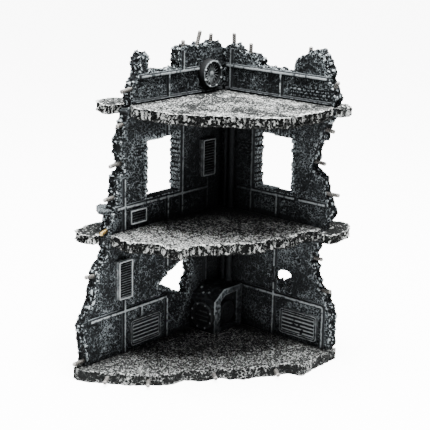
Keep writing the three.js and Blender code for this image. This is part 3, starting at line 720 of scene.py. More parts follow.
def fallen_plaster(u, v, loop, up, relief, seed):
    """Where the plaster is gone down to the rubble core: stones 2.5 mm across, their joints
    set back by 1.7 mm, and a bright broken line where the plaster ends."""
    edge = off_edge(u, v, closed_loop(loop)) + 1.6 * (swell(u, v, 2.2, seed) - 0.5)
    core = ease(-edge, -0.2, 0.8)
    bend_u = u + swell(u, v, 2.0, seed + 1)
    bend_v = v + swell(u, v, 2.0, seed + 2)
    stone, own = stones(bend_u, bend_v, 2.5, seed + 3)
    line = np.exp(-((edge - 0.35) / 0.4) ** 2)
    up = up * (1 - core) + core * (-1.7 + 1.3 * stone * (0.5 + 0.6 * own))
    relief = relief * (1 - core) + core * stone * (0.35 + 0.45 * own) + 0.6 * line
    return up, np.clip(relief, 0, 1)


def wall_face(seed, windows=(), patches=(), dents=(), fallen=(), calm=None):
    """Plaster with a rim of crumbled stone, blocks round windows, bare bricks, places where
    the plaster fell, and round dents. Inside the calm circle nothing stands up."""
    def shape(u, v, gap):
        skin = plaster(u, v, seed)
        broken = crumble(u, v, seed + 10)
        open_edge = ease(from_seams(v), 0.8, 3)
        rim = ease(gap + 3.4 * (swell(u, v, 5.0, seed + 20) - 0.5), -3.8, -0.9) * open_edge
        up = (1.1 * skin - 0.6) * (1 - rim) + (1.5 * broken - 0.6) * rim
        relief = skin * (1 - rim) + broken * rim
        for window in windows:
            up, relief = quoins(u, v, window, up, relief, seed + 30)
        for patch in patches:
            up, relief = bare_bricks(u, v, patch, up, relief, seed + 40)
        for loop in fallen:
            up, relief = fallen_plaster(u, v, loop, up, relief, seed + 70)
        for dent_u, dent_v, radius in dents:
            away = np.hypot(u - dent_u, v - dent_v) / radius
            bowl = 1 - ease(away, 0.45, 0.95)
            lip = ease(away, 0.7, 1.0) * (1 - ease(away, 1.0, 1.35))
            up = up * (1 - bowl) - 1.5 * bowl + 0.35 * lip
            relief = np.clip(relief * (1 - bowl) + 0.55 * lip, 0, 1)
        if calm:
            rough = from_calm(u, v, calm)
            up = up * rough - 0.35 * (1 - rough)
            relief = relief * (0.55 + 0.45 * rough)
        return up, relief, 0.9 * rim
    return shape


# %% Broken edges
def near_window(u, v, window):
    """1 at a window's edge, 0 from 3 mm outside it."""
    u0, u1, v0, v1 = window
    beyond = np.hypot(np.maximum(0, np.maximum(u0 - u, u - u1)),
                      np.maximum(0, np.maximum(v0 - v, v - v1)))
    return 1 - ease(beyond, 2.0, 3.0)


def wall_ragged(seed, windows, calm=None):
    """Shifts a wall's edge: chips where it is broken, block teeth round a window, nothing at
    the joints between panels, and only small chips inside the calm circle (u, v, radius)."""
    def shift(u, v):
        free = ease(from_seams(v), 0.6, 2.6) * ease(np.abs(u), 0.5, 4)
        own = stones(u + swell(u, v, 2.0, seed + 54), v, 4.2, seed + 50)[1]
        chips = (0.5 * (swell(u, v, 1.3, seed + 51) - 0.5) + 1.3 * (own - 0.5)
                 + 1.8 * (swell(u, v, 3.6, seed + 53) - 0.5) - 0.8)
        if calm:
            chips = chips * (0.12 + 0.88 * from_calm(u, v, calm))
        near = np.zeros(u.shape)
        teeth = np.zeros(u.shape)
        for window in windows:
            u0, u1, v0, v1 = window
            here = near_window(u, v, window)
            jamb = (v > v0 - 0.5) & (v < v1 + 0.5)
            count = np.where(jamb, np.floor((v - v0) / BLOCK_TALL),
                             np.floor((u - u0) / BLOCK_WIDE + 0.3) + 40)
            side = u > 0.5 * (u0 + u1)
            deep = (1.3 * (scatter(count, side, 1, seed) - 0.5)
                    + 0.4 * (swell(u, v, 1.2, seed + 52) - 0.5))
            near = np.maximum(near, here)
            teeth = teeth + here * deep
        return free * (chips * (1 - near) + teeth)
    return shift


def stony_bite(seed, board, size=(2.9, 2.9, 2.9), depth=1.4, top=0.0, foot=-WALL, calm=None,
               windows=()):
    """Pits in a broken edge: cracks between lumps of stone go inwards, deepest midway, and
    each lump has its own height and its own share of paint. Inside the calm circle they are
    shallow and dark, and a window's jambs show the joints between their blocks."""
    def dig(u, v, w):
        spot = np.stack([u.ravel(), v.ravel(), w.ravel()], axis=1)
        bend = 0.9 * swell(spot[:, 0] + spot[:, 1], spot[:, 2], 1.6, seed + 60)
        lump, own = lumps(spot + bend[:, None], size, seed)
        lump, own = lump.reshape(u.shape), own.reshape(u.shape)
        middle = ease(top - w, 0.0, 1.1) * ease(w - foot, 0.0, 1.1)
        if board == "floor":
            free = ease(np.maximum(u, -v), 1, 5) * ease(np.minimum(np.abs(u), np.abs(v)), 0.4, 2.5)
        else:
            free = ease(from_seams(v), 0.4, 2.2) * ease(np.abs(u), 0.4, 3)
        if calm:
            free = free * (0.25 + 0.75 * from_calm(u, v, calm))
        push = -depth * (1 - lump + 0.8 * (1 - own)) * (0.35 + 0.65 * middle) * free
        relief = np.clip(1.5 * lump - 0.4, -0.3, 1) * (0.4 + 0.75 * own) * free + 0.3 * (1 - free)
        wear = 0.95 * free
        for window in windows:
            here = near_window(u, v, window)
            joint = ease(from_whole((v - window[2]) / BLOCK_TALL) * BLOCK_TALL, 0.15, 0.7)
            push = push * (1 - here) - 0.5 * here * (1 - joint)
            relief = relief * (1 - here) + here * joint * (0.3 + 0.5 * own)
            wear = wear * (1 - here) + 0.3 * here
        return push, relief, wear
    return dig


# %% The six wall panels
# A window is (u0, u1, v0, v1). A panel has its board, its patches of bare brick (u0, u1, v0,
# v1), its dents (u, v, radius), its loops of fallen plaster and its calm circle (u, v, radius).
WINDOW = {"left": (-69.7, -41.8, 95.0, 130.4), "right": (28.6, 56.5, 95.0, 130.4)}
WALL_PITCH = 0.5
BREACH_CORE = [
    (-29.1, 45.7), (-25.1, 35.8), (-28.7, 30.9), (-31.2, 21.9), (-35.6, 12.6),
    (-41.0, 7.6), (-50.0, 15.1), (-51.9, 21.4), (-57.3, 28.4), (-59.9, 35.9),
]
PANELS = {
    "left_wall_ground": ("left", [], [], [BREACH_CORE], None),
    "left_wall_middle": ("left", [(-80.4, -72.5, 120.5, 131)], [], [], None),
    "left_wall_top": ("left", [], [], [], None),
    "right_wall_ground": ("right", [], [(64.3, 53.1, 2.0)], [], (53.6, 40, 8)),
    "right_wall_middle": ("right", [(15, 24.7, 113.5, 123)], [], [], None),
    "right_wall_top": ("right", [(53, 83, 154, 163)], [], [], None),
}
for number, (node, (board, patches, dents, fallen, calm)) in enumerate(PANELS.items()):
    seed = 100 * (number + 1)
    windows = [WINDOW[board]] if node.endswith("middle") else []
    points, faces, relief, wear = cut_sheet(
        outline_of(node, board, 0.0), board, (-WALL, 0.0), WALL_PITCH,
        wall_face(seed, windows, patches, dents, fallen, calm),
        wall_face(seed + 1000, windows, calm=calm),
        wall_ragged(seed, windows, calm), stony_bite(seed, board, calm=calm, windows=windows),
        rows=12)
    put(f"{node}_cast", points, faces, relief, wear, finish=FINISH["walls"], stands_for=[node])

# %% [markdown]
# ## Floors
# The floors are gritty, like crushed stone set in mortar, and their broken edges are rows of
# upright blocks with black gaps. The grit is cell noise barely more than a millimetre across.
# Loose stones could be scattered one by one, but each of them would cost dozens of faces.

# %% Grit on top, blocks at the edge
def grit(seed, lift, bare=0.06, blocks=1.0):
    """Small stones on the floor, with a rim where larger blocks come to the surface."""
    def shape(u, v, gap):
        bend_u = u + swell(u, v, 1.5, seed + 5)
        bend_v = v + swell(u, v, 1.5, seed + 6)
        small, own = stones(bend_u, bend_v, 1.25, seed)
        patch = swell(u, v, 9.0, seed + 1) + 0.5 * swell(u, v, 3.0, seed + 4)
        block, block_own = stones(u, v, 2.4, seed + 2)
        rim = blocks * ease(gap, -2.2, -0.5) * ease(np.minimum(np.abs(u), np.abs(v)), 0.6, 2.5)
        up = 0.42 * small * (0.4 + 0.8 * own) - 0.2
        relief = np.clip(bare + 0.62 * small * own + lift * (patch - 0.75), -0.3, 1)
        up = up * (1 - rim) + rim * (0.5 * block * (0.5 + 0.7 * block_own) - 0.25)
        relief = relief * (1 - rim) + rim * np.clip(block * (0.5 + 0.7 * block_own), 0, 1)
        return up, relief, 0.8 * rim
    return shape


def underside(u, v, gap):
    """The flat underside of a casting, with only the sanding marks."""
    return np.zeros(u.shape), 0.1 + 0.25 * swell(u, v, 2.0, 77), 0.0


def gentle_ragged(amount, seed):
    """A slightly uneven cast edge."""
    def shift(u, v):
        return amount * 2 * (swell(u, v, 1.7, seed) - 0.5)
    return shift


def block_ragged(seed):
    """Square blocks in and out of the line of a broken slab."""
    def shift(u, v):
        free = ease(np.minimum(np.abs(u), np.abs(v)), 0.5, 3)
        own = stones(u, v, 2.4, seed + 2)[1]
        return free * (1.6 * (own - 0.5) + 0.6 * (swell(u, v, 1.1, seed + 3) - 0.5) - 0.5)
    return shift


def cast_edge(seed, top, foot, bare=0.13):
    """The base plate's own edge: a cast face with shallow dents, dark, with paint along its
    upper rim and a thin line along its lower one."""
    def dig(u, v, w):
        dent = swell(u + v, w, 3.4, seed) + 0.5 * swell(u - v, w, 1.5, seed + 1) - 0.75
        upper = ease(w, top - 1.0, top - 0.2)
        lower = 1 - ease(w, foot + 0.2, foot + 0.9)
        round_over = ease(w, top - 1.0, top) + 0.8 * (1 - ease(w, foot, foot + 0.8))
        relief = np.clip(bare + 0.6 * dent + 0.42 * upper + 0.2 * lower, -0.3, 1)
        return 0.7 * dent - 0.5 * round_over - 0.2, relief, 0.4 * upper
    return dig


# A slab has its top level, its thickness, how patchy its paint is and how much paint lies on
# it between the stones.
FLOOR_PITCH = 0.5
SLABS = {
    "base_plate": (0.0, BASE, 0.15, 0.0),
    "first_floor": (FLOOR_1, SLAB, 0.2, 0.07),
    "second_floor": (FLOOR_2, SLAB, 0.5, -0.03),
    "left_ledge_first": (FLOOR_1, LEDGE, 0.2, -0.22),
    "right_ledge_first": (FLOOR_1, LEDGE, 0.2, -0.22),
    "left_ledge_second": (FLOOR_2, LEDGE, 0.2, -0.12),
    "right_ledge_second": (FLOOR_2, LEDGE, 0.2, -0.12),
}
for number, (node, (top, thick, lift, bare)) in enumerate(SLABS.items()):
    seed = 3000 + 40 * number
    blocks = 1.0
    if node == "base_plate":
        blocks = 0.35
        ragged, bite = gentle_ragged(0.5, seed), cast_edge(seed, top, top - thick)
    else:
        ragged = block_ragged(seed)
        bite = stony_bite(seed, "floor", (2.2, 2.2, 5.5), 1.5, top, top - thick)
    points, faces, relief, wear = cut_sheet(
        outline_of(node, "floor", top), "floor", (top - thick, top), FLOOR_PITCH,
        grit(seed, lift, bare, blocks), underside, ragged, bite, rows=11)
    put(f"{node}_cast", points, faces, relief, wear, finish=FINISH["floors"], stands_for=[node])

# %% [markdown]
# ## Rails and ribs
# Thin half-round strips were cast along the walls. Their crowns took a clean line of paint
# and their sides stayed dark. They are sheets too: the outline is the whole frame of rails
# and ribs, so crossings join by themselves, and the front is rounded over.

# %% A half-round front
def half_round(width, drop, seed):
    """A crown along the middle of a strip: the height falls by 1 - sqrt(1 - t^2) of drop, t
    being 0 in the middle and 1 at the edge. Nicks and worn flats break the crown."""
    def shape(u, v, gap):
        t = np.clip(1 + gap / (0.5 * width), 0, 0.97)
        crown = np.sqrt(1 - t * t)
        nick = ease(swell(u, v, 1.6, seed), 0.66, 0.9)
        wobble = swell(u, v, 0.9, seed + 1) - 0.5
        up = -drop * (1 - crown) - 0.15 * nick + 0.08 * wobble
        line = np.exp(-((t / 0.56) ** 4))
        relief = np.clip(0.8 * line - 0.3 * nick + 0.16 * wobble, 0, 1)
        return up, relief, 0.35
    return shape


def plain_back(u, v, gap):
    """The hidden side, glued to the wall."""
    return np.zeros(u.shape), 0.1, 0.0


def plain_edge(u, v, w):
    """The side of a thin strip, with neither pits nor dents."""
    return 0.0, 0.5, 0.3


RIB_WIDE = 2.6
RIB_DROP = 1.0
RIB_PITCH = 0.34
SUNK = 0.9
FRAMES = sorted(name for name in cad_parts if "_frame_" in name or "_rib_" in name)
print("rails and ribs:", ", ".join(FRAMES))
for number, node in enumerate(FRAMES):
    board = node.split("_")[0]
    face = board_box(node, board)[1][2]
    seed = 5000 + 10 * number
    points, faces, relief, wear = cut_sheet(
        outline_of(node, board, face), board, (-SUNK, face), RIB_PITCH,
        half_round(RIB_WIDE, RIB_DROP, seed), plain_back, gentle_ragged(0.12, seed + 2),
        plain_edge, rows=5)
    put(f"{node}_cast", points, faces, relief, wear, finish=FINISH["framing"], stands_for=[node])

# %% The stub of the outside course
course_foot = board_box("left_course_stub", "floor")[0][2]
course_top = board_box("left_course_stub", "floor")[1][2]
points, faces, relief, wear = cut_sheet(
    outline_of("left_course_stub", "floor", course_top), "floor", (course_foot, course_top),
    0.4, grit(7000, 0.1, 0.35, 0.35), underside, gentle_ragged(0.3, 7001),
    cast_edge(7002, course_top, course_foot, 0.5), rows=7)
put("left_course_stub_cast", points, faces, relief, wear, finish=FINISH["walls"],
    stands_for=["left_course_stub"])

# %% [markdown]
# ## Louvred vents and grilles
# Each vent is a box with a rounded rim and a stack of tilted blades. Seen from the front a
# blade is a saw tooth: a proud lip, then a slope running back into the dark up to the next
# lip. That makes a vent a height over (u, v), so the same sheet function cuts it.

# %% A saw-tooth front inside a rounded rim
def louvre_front(box, border, deep, slats, groove, missing, seed):
    """Rim height: a rounded band, or two thin lines with a groove between when asked. Inside:
    (height above a slat's foot) / pitch runs from lip to the next lip, and the face slopes
    back by deep."""
    (_, v0, _), (_, v1, _) = box

    def shape(u, v, gap):
        inner = -gap - border
        on_rim = 1 - ease(inner, -0.1, 0.15)
        across = np.clip(-inner / border, 0, 1)
        single = np.sin(np.pi * np.clip(across, 0.03, 0.97)) ** 0.6
        double = np.exp(-((across - 0.16) / 0.13) ** 2) + np.exp(-((across - 0.8) / 0.14) ** 2)
        crown = single * (1 - groove) + double * groove
        rim_up = -0.8 * (1 - crown)
        pitch = (v1 - v0 - 2 * border) / slats
        step = (v - v0 - border) / pitch - 0.12
        part = step - np.floor(step)
        lip = ease(part, 0.0, 0.08) * (1 - ease(part, 0.24 + 0.16 * groove, 0.34 + 0.16 * groove))
        slope = np.clip((part - 0.42) / 0.3, 0, 1) * (1 - ease(part, 0.9, 1.0))
        gone = np.zeros(u.shape)
        for hole in missing:
            within = within_box(u, v, hole) + 1.4 * (swell(u, v, 1.3, seed) - 0.5)
            gone = np.maximum(gone, ease(within, 0, 0.4))
        blade_up = -0.5 - (deep - 0.5) * slope
        blade_up = blade_up * (1 - gone) - (deep + 0.1) * gone
        wobble = swell(u, v, 1.1, seed + 1) - 0.5
        up = rim_up * on_rim + blade_up * (1 - on_rim) + 0.1 * wobble
        blade_relief = (-0.15 + (0.9 + 0.15 * groove) * lip) * (1 - 0.7 * gone)
        relief = on_rim * (0.05 + (0.95 - 0.25 * groove) * crown) + (1 - on_rim) * blade_relief
        return up, np.clip(relief + 0.2 * wobble, -0.2, 1), 0.35 * on_rim
    return shape


def vent_side(u, v, w):
    """The side of a vent's box: plain, with paint along its front edge."""
    rough = swell(u + v, w, 1.2, 84) - 0.5
    return 0.0, np.clip(0.42 + 0.25 * rough + 0.35 * ease(w, 0.5, 3), 0, 1), 0.3


def rounded_box(box, radius, around=6):
    """A rectangle's outline with quarter-circle corners."""
    (u0, v0, _), (u1, v1, _) = box
    quarter = np.linspace(0, math.pi / 2, around)
    corners = []
    for cu, cv, turn in ((u1 - radius, v1 - radius, 0), (u0 + radius, v1 - radius, 1),
                         (u0 + radius, v0 + radius, 2), (u1 - radius, v0 + radius, 3)):
        angle = quarter + turn * math.pi / 2
        corners.append(np.stack([cu + radius * np.cos(angle), cv + radius * np.sin(angle)], axis=1))
    return closed_loop(np.concatenate(corners))


# A vent has its border, its number of slats, its lattice pitch, 1 for a grooved rim and its
# broken places (u0, u1, v0, v1). The grooved ones are the wide grilles low on the walls.
BROKEN_SLATS = [(63.4, 65.0, 12.6, 15.0), (62.6, 65.8, 9.8, 11.8), (67.2, 68.8, 9.4, 12.2),
                (69.0, 71.0, 6.4, 8.8)]
VENTS = {
    "left_vent_ground": (1.5, 14, 0.26, 0.0, []),
    "left_vent_middle": (1.4, 12, 0.26, 0.0, []),
    "left_grille_ground": (2.3, 5, 0.3, 1.0, []),
    "left_grille_middle": (1.3, 4, 0.28, 0.0, []),
    "right_grille_ground": (2.3, 5, 0.3, 1.0, BROKEN_SLATS),
}
for number, (node, (border, slats, pitch, groove, missing)) in enumerate(VENTS.items()):
    board = node.split("_")[0]
    box = board_box(node, board)
    seed = 6000 + 10 * number
    deep = box[1][2] - 0.7
    points, faces, relief, wear = cut_sheet(
        rounded_box(box, 1.2 + 1.2 * groove), board, (-SUNK, box[1][2]), pitch,
        louvre_front(box, border, deep, slats, groove, missing, seed), plain_back,
        gentle_ragged(0.12, seed + 5), vent_side, rows=9)
    # Brush reach with painted shade, raised for the vents.
    reach = np.clip(brush_reach_and_shade(points) + (0.25 if groove == 0 else 0.1), 0, 1)
    put(f"{node}_cast", points, faces, relief, wear, reach, FINISH["vents"], [node])

# %% [markdown]
# ## Turned pieces: fan, hatch, drum, bolts
# Round parts like these are turned on a lathe, so they are made by turning: a profile of
# radius and height is carried round an axis. A Screw modifier could do it too, but then the relief could
# not be set ring by ring. Small turned domes make the bolts and rivets.

# %% Turning, and gathering several closed shells into one piece
def turned(profile, relief, centre, around, closed=False):
    """Points at (centre + r cos a, centre + r sin a, h) for every profile point (r, h) and
    angle a. An open profile starts and ends on the axis, where each ring closes to a point."""
    profile = np.asarray(profile, float)
    angle = np.arange(around) * 2 * math.pi / around
    rings = profile if closed else profile[1:-1]
    u = centre[0] + rings[:, :1] * np.cos(angle)
    v = centre[1] + rings[:, :1] * np.sin(angle)
    w = np.broadcast_to(centre[2] + rings[:, 1:], u.shape)
    points = np.stack([u, v, w], axis=2).reshape(-1, 3)
    ring, turn = np.meshgrid(np.arange(len(rings) if closed else len(rings) - 1), np.arange(around),
                             indexing="ij")
    below, above = ring * around, (ring + 1) % len(rings) * around
    beside = (turn + 1) % around
    faces = np.stack([below + turn, below + beside, above + beside, above + turn], axis=2)
    faces = faces.reshape(-1, 4).tolist()
    shade = np.repeat(relief if closed else relief[1:-1], around)
    if not closed:
        start = len(points)
        end = start + 1
        tips = np.array([[*centre[:2], centre[2] + profile[row, 1]] for row in (0, -1)])
        points = np.concatenate([points, tips])
        shade = np.concatenate([shade, [relief[0], relief[-1]]])
        turn = np.arange(around)
        after = (turn + 1) % around
        last = (len(rings) - 1) * around
        faces += np.stack([np.full(around, start), after, turn], axis=1).tolist()
        faces += np.stack([np.full(around, end), last + turn, last + after], axis=1).tolist()
    return points, faces, shade


def gather(shells):
    """Several (points, faces, relief) shells as one, with the face numbers shifted."""
    points, faces, relief = [], [], []
    start = 0
    for shell_points, shell_faces, shell_relief in shells:
        points.append(shell_points)
        faces += [[start + corner for corner in face] for face in shell_faces]
        relief.append(np.broadcast_to(shell_relief, len(shell_points)))
        start += len(shell_points)
    return np.concatenate(points), faces, np.concatenate(relief)


def dome(centre, radius, tall, sides=12):
    """A bolt head: a quarter circle of radius and height, sunk a little at its foot."""
    t = np.linspace(0, math.pi / 2, 5)
    arc = np.stack([radius * np.cos(t), tall * np.sin(t)], axis=1)
    profile = np.concatenate([[[0, -0.6]], [[radius, -0.6]], arc])
    return turned(profile, np.concatenate([[0.2, 0.2], 0.4 + 0.6 * np.sin(t)]), centre, sides)


def ring_of_domes(centre, reach, count, radius, tall):
    """Domes at even angles round a circle."""
    domes = []
    for a in (np.arange(count) + 0.5) * 2 * math.pi / count:
        spot = (centre[0] + reach * math.cos(a), centre[1] + reach * math.sin(a), centre[2])
        domes.append(dome(spot, radius, tall))
    return domes


# %% The fan's ring: a drum with a rolled rim and a circle of bolts
fan_box = board_box("fan_ring", "left")
fan_middle = 0.5 * (fan_box[0] + fan_box[1])
FAN_R = 0.5 * (fan_box[1][0] - fan_box[0][0])
FAN_FACE = fan_box[1][2] - 0.6
FAN_HOLE = 6.4
BOLTS = 8
BOLT_CIRCLE = 7.9
fan_at = (fan_middle[0], fan_middle[1], 0.0)
ring_profile = [
    (FAN_HOLE + 0.1, -SUNK), (FAN_R + 0.1, -SUNK), (FAN_R, 0.6 * FAN_FACE),
    (FAN_R - 0.5, FAN_FACE - 0.5), (FAN_R - 1.0, FAN_FACE), (FAN_R - 1.5, FAN_FACE + 0.1),
    (FAN_R - 1.9, FAN_FACE - 0.3), (FAN_R - 2.3, FAN_FACE + 0.05), (FAN_HOLE + 0.2, FAN_FACE - 0.2),
    (FAN_HOLE, FAN_FACE - 0.8), (FAN_HOLE, 1.2),
]
ring_relief = np.array([0.0, 0.02, 0.1, 0.25, 0.7, 0.6, 0.05, 0.2, 0.3, 0.1, 0.0])
shells = [turned(ring_profile, ring_relief, fan_at, 64, closed=True)]
shells += ring_of_domes((*fan_at[:2], FAN_FACE), BOLT_CIRCLE, BOLTS, 0.85, 0.75)
points, faces, relief = gather(shells)
put("fan_ring_cast", stand_up(points, "left"), faces, relief, 0.5, finish=FINISH["vents"],
    stands_for=["fan_ring"])

# %% The fan's rotor: a hub and its vanes
def vane(angle, inner, outer, foot, top, thick, lean):
    """One fan blade: a thin plate from the hub to the ring, leaning over and closed all
    round. Its two faces are grids of (radius, height), joined along their four edges."""
    r = np.linspace(inner, outer, 4)
    h = np.linspace(0, 1, 3)
    radius, rise = np.meshgrid(r, h, indexing="ij")
    turn = angle + lean * rise / radius
    sheets = []
    for side in (-0.5, 0.5):
        off = side * thick * (1 - 0.4 * rise)
        sheets.append(np.stack([radius * np.cos(turn) - off * np.sin(turn),
                                radius * np.sin(turn) + off * np.cos(turn),
                                foot + (top - foot) * rise], axis=2).reshape(-1, 3))
    i, j = np.meshgrid(np.arange(3), np.arange(2), indexing="ij")
    a = (i * 3 + j).ravel()
    quad = np.stack([a, a + 3, a + 4, a + 1], axis=1)
    loop = np.array([0, 3, 6, 9, 10, 11, 8, 5, 2, 1])
    after = np.roll(loop, -1)
    edge = np.stack([loop, after, after + 12, loop + 12], axis=1)
    faces = np.concatenate([quad[:, ::-1], quad + 12, edge])
    shade = np.tile((rise * rise).ravel(), 2)
    return np.concatenate(sheets), faces.tolist(), shade


VANES = 18
vanes = []
for turn in 2 * math.pi * np.arange(VANES) / VANES:
    blade_points, blade_faces, shade = vane(turn, 1.9, 6.7, 0.9, 3.1, 0.5, 0.5)
    vanes.append((blade_points + np.array(fan_at), blade_faces, shade))
hub_profile = [(0, -SUNK), (6.8, -SUNK), (6.8, 0.9), (2.2, 1.0), (2.3, 2.6), (1.9, 3.2),
               (1.1, 3.6), (0, 3.7)]
hub_relief = np.array([-0.3, -0.3, -0.3, -0.3, 0.3, 0.8, 0.85, 1.0])
points, faces, relief = gather([turned(hub_profile, hub_relief, fan_at, 32)] + vanes)
put("fan_rotor_cast", stand_up(points, "left"), faces, relief, 0.3, finish=FINISH["vents"],
    stands_for=["fan_rotor"])

# %% [markdown]
# ## The machine in the corner
# A sheet-metal housing stands where the walls meet. Its end plate has a framed recess with a
# round drum in it, its front has a riveted inspection hatch, and a hood slopes back between.
# The end plate and the body behind it are two sheets on the left wall's drawing board.

# %% Body, end plate, drum and hood rivets
housing = board_box("machine_housing", "left")
END = housing[1][2]
FRONT = housing[0][0]
TOP = housing[1][1]
BODY_DEEP = END - 4.0
HOOD_FOOT = np.array([FRONT, 21.8])
HOOD_RIDGE = np.array([-18.5, TOP])
HOOD_WAY = (HOOD_RIDGE - HOOD_FOOT) / np.hypot(*(HOOD_RIDGE - HOOD_FOOT))
HOOD_OUT = np.array([-HOOD_WAY[1], HOOD_WAY[0]])


def end_plate(u, v, gap):
    """The plate's own band stands proud along the front, the hood and the ridge, with a
    rolled edge; the panel between is lower and rough."""
    edge = ease(gap, -0.9, -0.1)
    rough = swell(u, v, 1.2, 81) - 0.5
    pilaster = ease(FRONT + 6.4 - u, 0, 0.4)
    top_band = ease(v - 22.5 + np.maximum(0, -16.5 - u) * 0.7, 0, 0.6)
    strip = ease(u + 6.2, 0, 0.4)
    proud = np.maximum(np.maximum(pilaster, top_band), 0.7 * strip)
    relief = 0.22 + 0.34 * proud + 0.4 * edge * (0.4 + proud) + 0.5 * rough
    return 0.25 * proud - 0.55 * edge - 0.2 + 0.12 * rough, np.clip(relief, 0, 1), 0.25 * proud


def body_front(u, v, gap):
    """The floor of the recess, in shadow."""
    return np.zeros(u.shape), 0.15, 0.0


def sheet_bite(u, v, w):
    """The skin of the front and the hood: slightly dented sheet metal with a worn edge at
    the end plate."""
    rough = swell(u + v, w, 1.6, 82) - 0.5
    edge = ease(w, END - 1.2, END)
    return 0.12 * rough - 0.25 * edge, np.clip(0.3 + 0.6 * rough + 0.45 * edge, 0, 1), 0.2 * edge


plate_outline = outline_of("machine_housing", "left", END)
plate = cut_sheet(plate_outline, "left", (BODY_DEEP - 0.4, END), 0.4, end_plate, plain_back,
                  gentle_ragged(0.1, 83), sheet_bite, rows=11)
core_outline = closed_loop([(FRONT, 0.1), (-0.3, 0.1), (-0.3, TOP), HOOD_RIDGE, HOOD_FOOT])
core = cut_sheet(core_outline, "left", (housing[0][2] - 0.6, BODY_DEEP), 0.5, body_front, plain_back,
                 gentle_ragged(0.1, 83), sheet_bite, rows=34)
drum_profile = [(0, -0.6), (7.2, -0.6), (7.2, 2.4), (6.7, 3.0), (5.9, 3.1), (5.4, 2.5), (3.4, 2.4),
                (3.0, 2.9), (1.4, 2.9), (1.0, 2.3), (0, 2.3)]
# Low relief on the drum: little paint, and partly painted shade in its recess.
drum_relief_and_shade = np.array([0, 0, 0.2, 0.3, 0.25, 0.0, 0.1, 0.25, 0.2, 0.0, 0.1])
drum = turned(drum_profile, drum_relief_and_shade, (-14, 12, BODY_DEEP), 40)
drum = (stand_up(drum[0], "left"), drum[1], drum[2])
shells = [(p, f.tolist(), r) for p, f, r, _ in (plate, core)] + [drum]
rivets_from = sum(len(shell[0]) for shell in shells)
for w, along in ((3.4, 0.72), (7.4, 0.4), (11.6, 0.5)):
    rivet_points, rivet_faces, shade = dome((0, 0, 0), 1.0, 0.7)
    foot = HOOD_FOOT + along * (HOOD_RIDGE - HOOD_FOOT)
    across = rivet_points[:, :1] * HOOD_WAY + rivet_points[:, 2:] * HOOD_OUT
    laid = np.concatenate([foot + across, w + rivet_points[:, 1:2]], axis=1)
    shells.append((stand_up(laid, "left"), rivet_faces, shade))
points, faces, relief = gather(shells)
laid = lay_flat(points, "left")
# Brighter on the end plate, towards its top and away from the corner, and on the rivets; dark elsewhere.
# Scant brushing, plus painted light where the end plate faces the light and painted shade low down and
# into the corner.
at_end = ease(laid[:, 2], END - 1.6, END - 0.4)
reach_and_shading = at_end * ease(laid[:, 1], 4, 14) * ease(-laid[:, 0], 9, 18)
reach_and_shading = 0.3 + 0.6 * reach_and_shading + 0.45 * (np.arange(len(points)) >= rivets_from)
put("machine_housing_cast", points, faces, relief, 0.15, reach_and_shading, FINISH["framing"],
    ["machine_housing"])

# %% The inspection hatch
hatch_box = board_box("machine_hatch", "right")
hatch_middle = 0.5 * (hatch_box[0] + hatch_box[1])
HATCH_R = 0.5 * (hatch_box[1][0] - hatch_box[0][0])
HATCH_RIVETS = 8
SLAT_PITCH = 3
hatch_w = hatch_box[0][2]
hatch_at = (hatch_middle[0], hatch_middle[1], hatch_w)
disc_profile = [(0, -0.8), (HATCH_R, -0.8), (HATCH_R, 1.5), (HATCH_R - 0.4, 2.0),
                (HATCH_R - 1.7, 2.0), (HATCH_R - 2.2, 1.5), (HATCH_R - 2.4, 0.8),
                (HATCH_R - 3.0, 0.8), (0, 0.9)]
disc_relief = np.array([0, 0.1, 0.4, 0.6, 0.3, 0.2, 0.02, 0.22, 0.28])
shells = [turned(disc_profile, disc_relief, hatch_at, 48)]
shells += ring_of_domes((*hatch_at[:2], hatch_w + 1.9), HATCH_R - 1.05, HATCH_RIVETS, 0.85, 0.65)


def slat_bar(u0, u1, v, w, tall, deep):
    """A rounded bar along u: a half-round section of points carried from end to end, with
    its ends drawn in and closed."""
    t = np.linspace(0, math.pi, 7)
    section = np.stack([0.5 * tall * np.cos(t), deep * np.sin(t)], axis=1)
    section = np.concatenate([section, [[-0.5 * tall, -0.5], [0.5 * tall, -0.5]]])
    place = np.array([u0, u0 + 0.3, 0.5 * (u0 + u1), u1 - 0.3, u1])
    scale = np.array([0.5, 1, 1, 1, 0.5])
    ring = len(section)
    points = np.stack([np.repeat(place, ring), v + (scale[:, None] * section[:, 0]).ravel(),
                       w + (scale[:, None] * section[:, 1]).ravel()], axis=1)
    i, j = np.meshgrid(np.arange(4) * ring, np.arange(ring), indexing="ij")
    k = (j + 1) % ring
    faces = np.stack([i + j, i + k, i + ring + k, i + ring + j], axis=2).reshape(-1, 4).tolist()
    faces += [list(range(ring))[::-1], list(range(4 * ring, 5 * ring))]
    shade = np.tile(np.concatenate([0.2 + 0.35 * np.sin(t), [0.1, 0.1]]), 5)
    return points, faces, shade


for rise in (-SLAT_PITCH, 0, SLAT_PITCH):
    half = math.sqrt(30 - rise * rise)
    shells.append(slat_bar(hatch_at[0] - half, hatch_at[0] + half, hatch_at[1] + rise,
                           hatch_w + 0.8, 1.4, 0.9))
points, faces, relief = gather(shells)
# Little paint on the hatch, more on its proudest tops; the low value is partly painted shade in the
# corner.
reach_and_shading = 0.24 + 0.3 * ease(points[:, 2], hatch_w + 2.05, hatch_w + 2.3)
put("machine_hatch_cast", stand_up(points, "right"), faces, relief, 0.2, reach_and_shading, FINISH["vents"],
    ["machine_hatch"])

# %% [markdown]
# ## Pipes and reinforcing rods
# The pipes in the corner and the rods that stick out of every broken edge are tubes along a
# line. The frame gives each line: the direction in which its solid is longest. The rods are
# ribbed like real reinforcing bar, cut off square, and no two are quite straight.

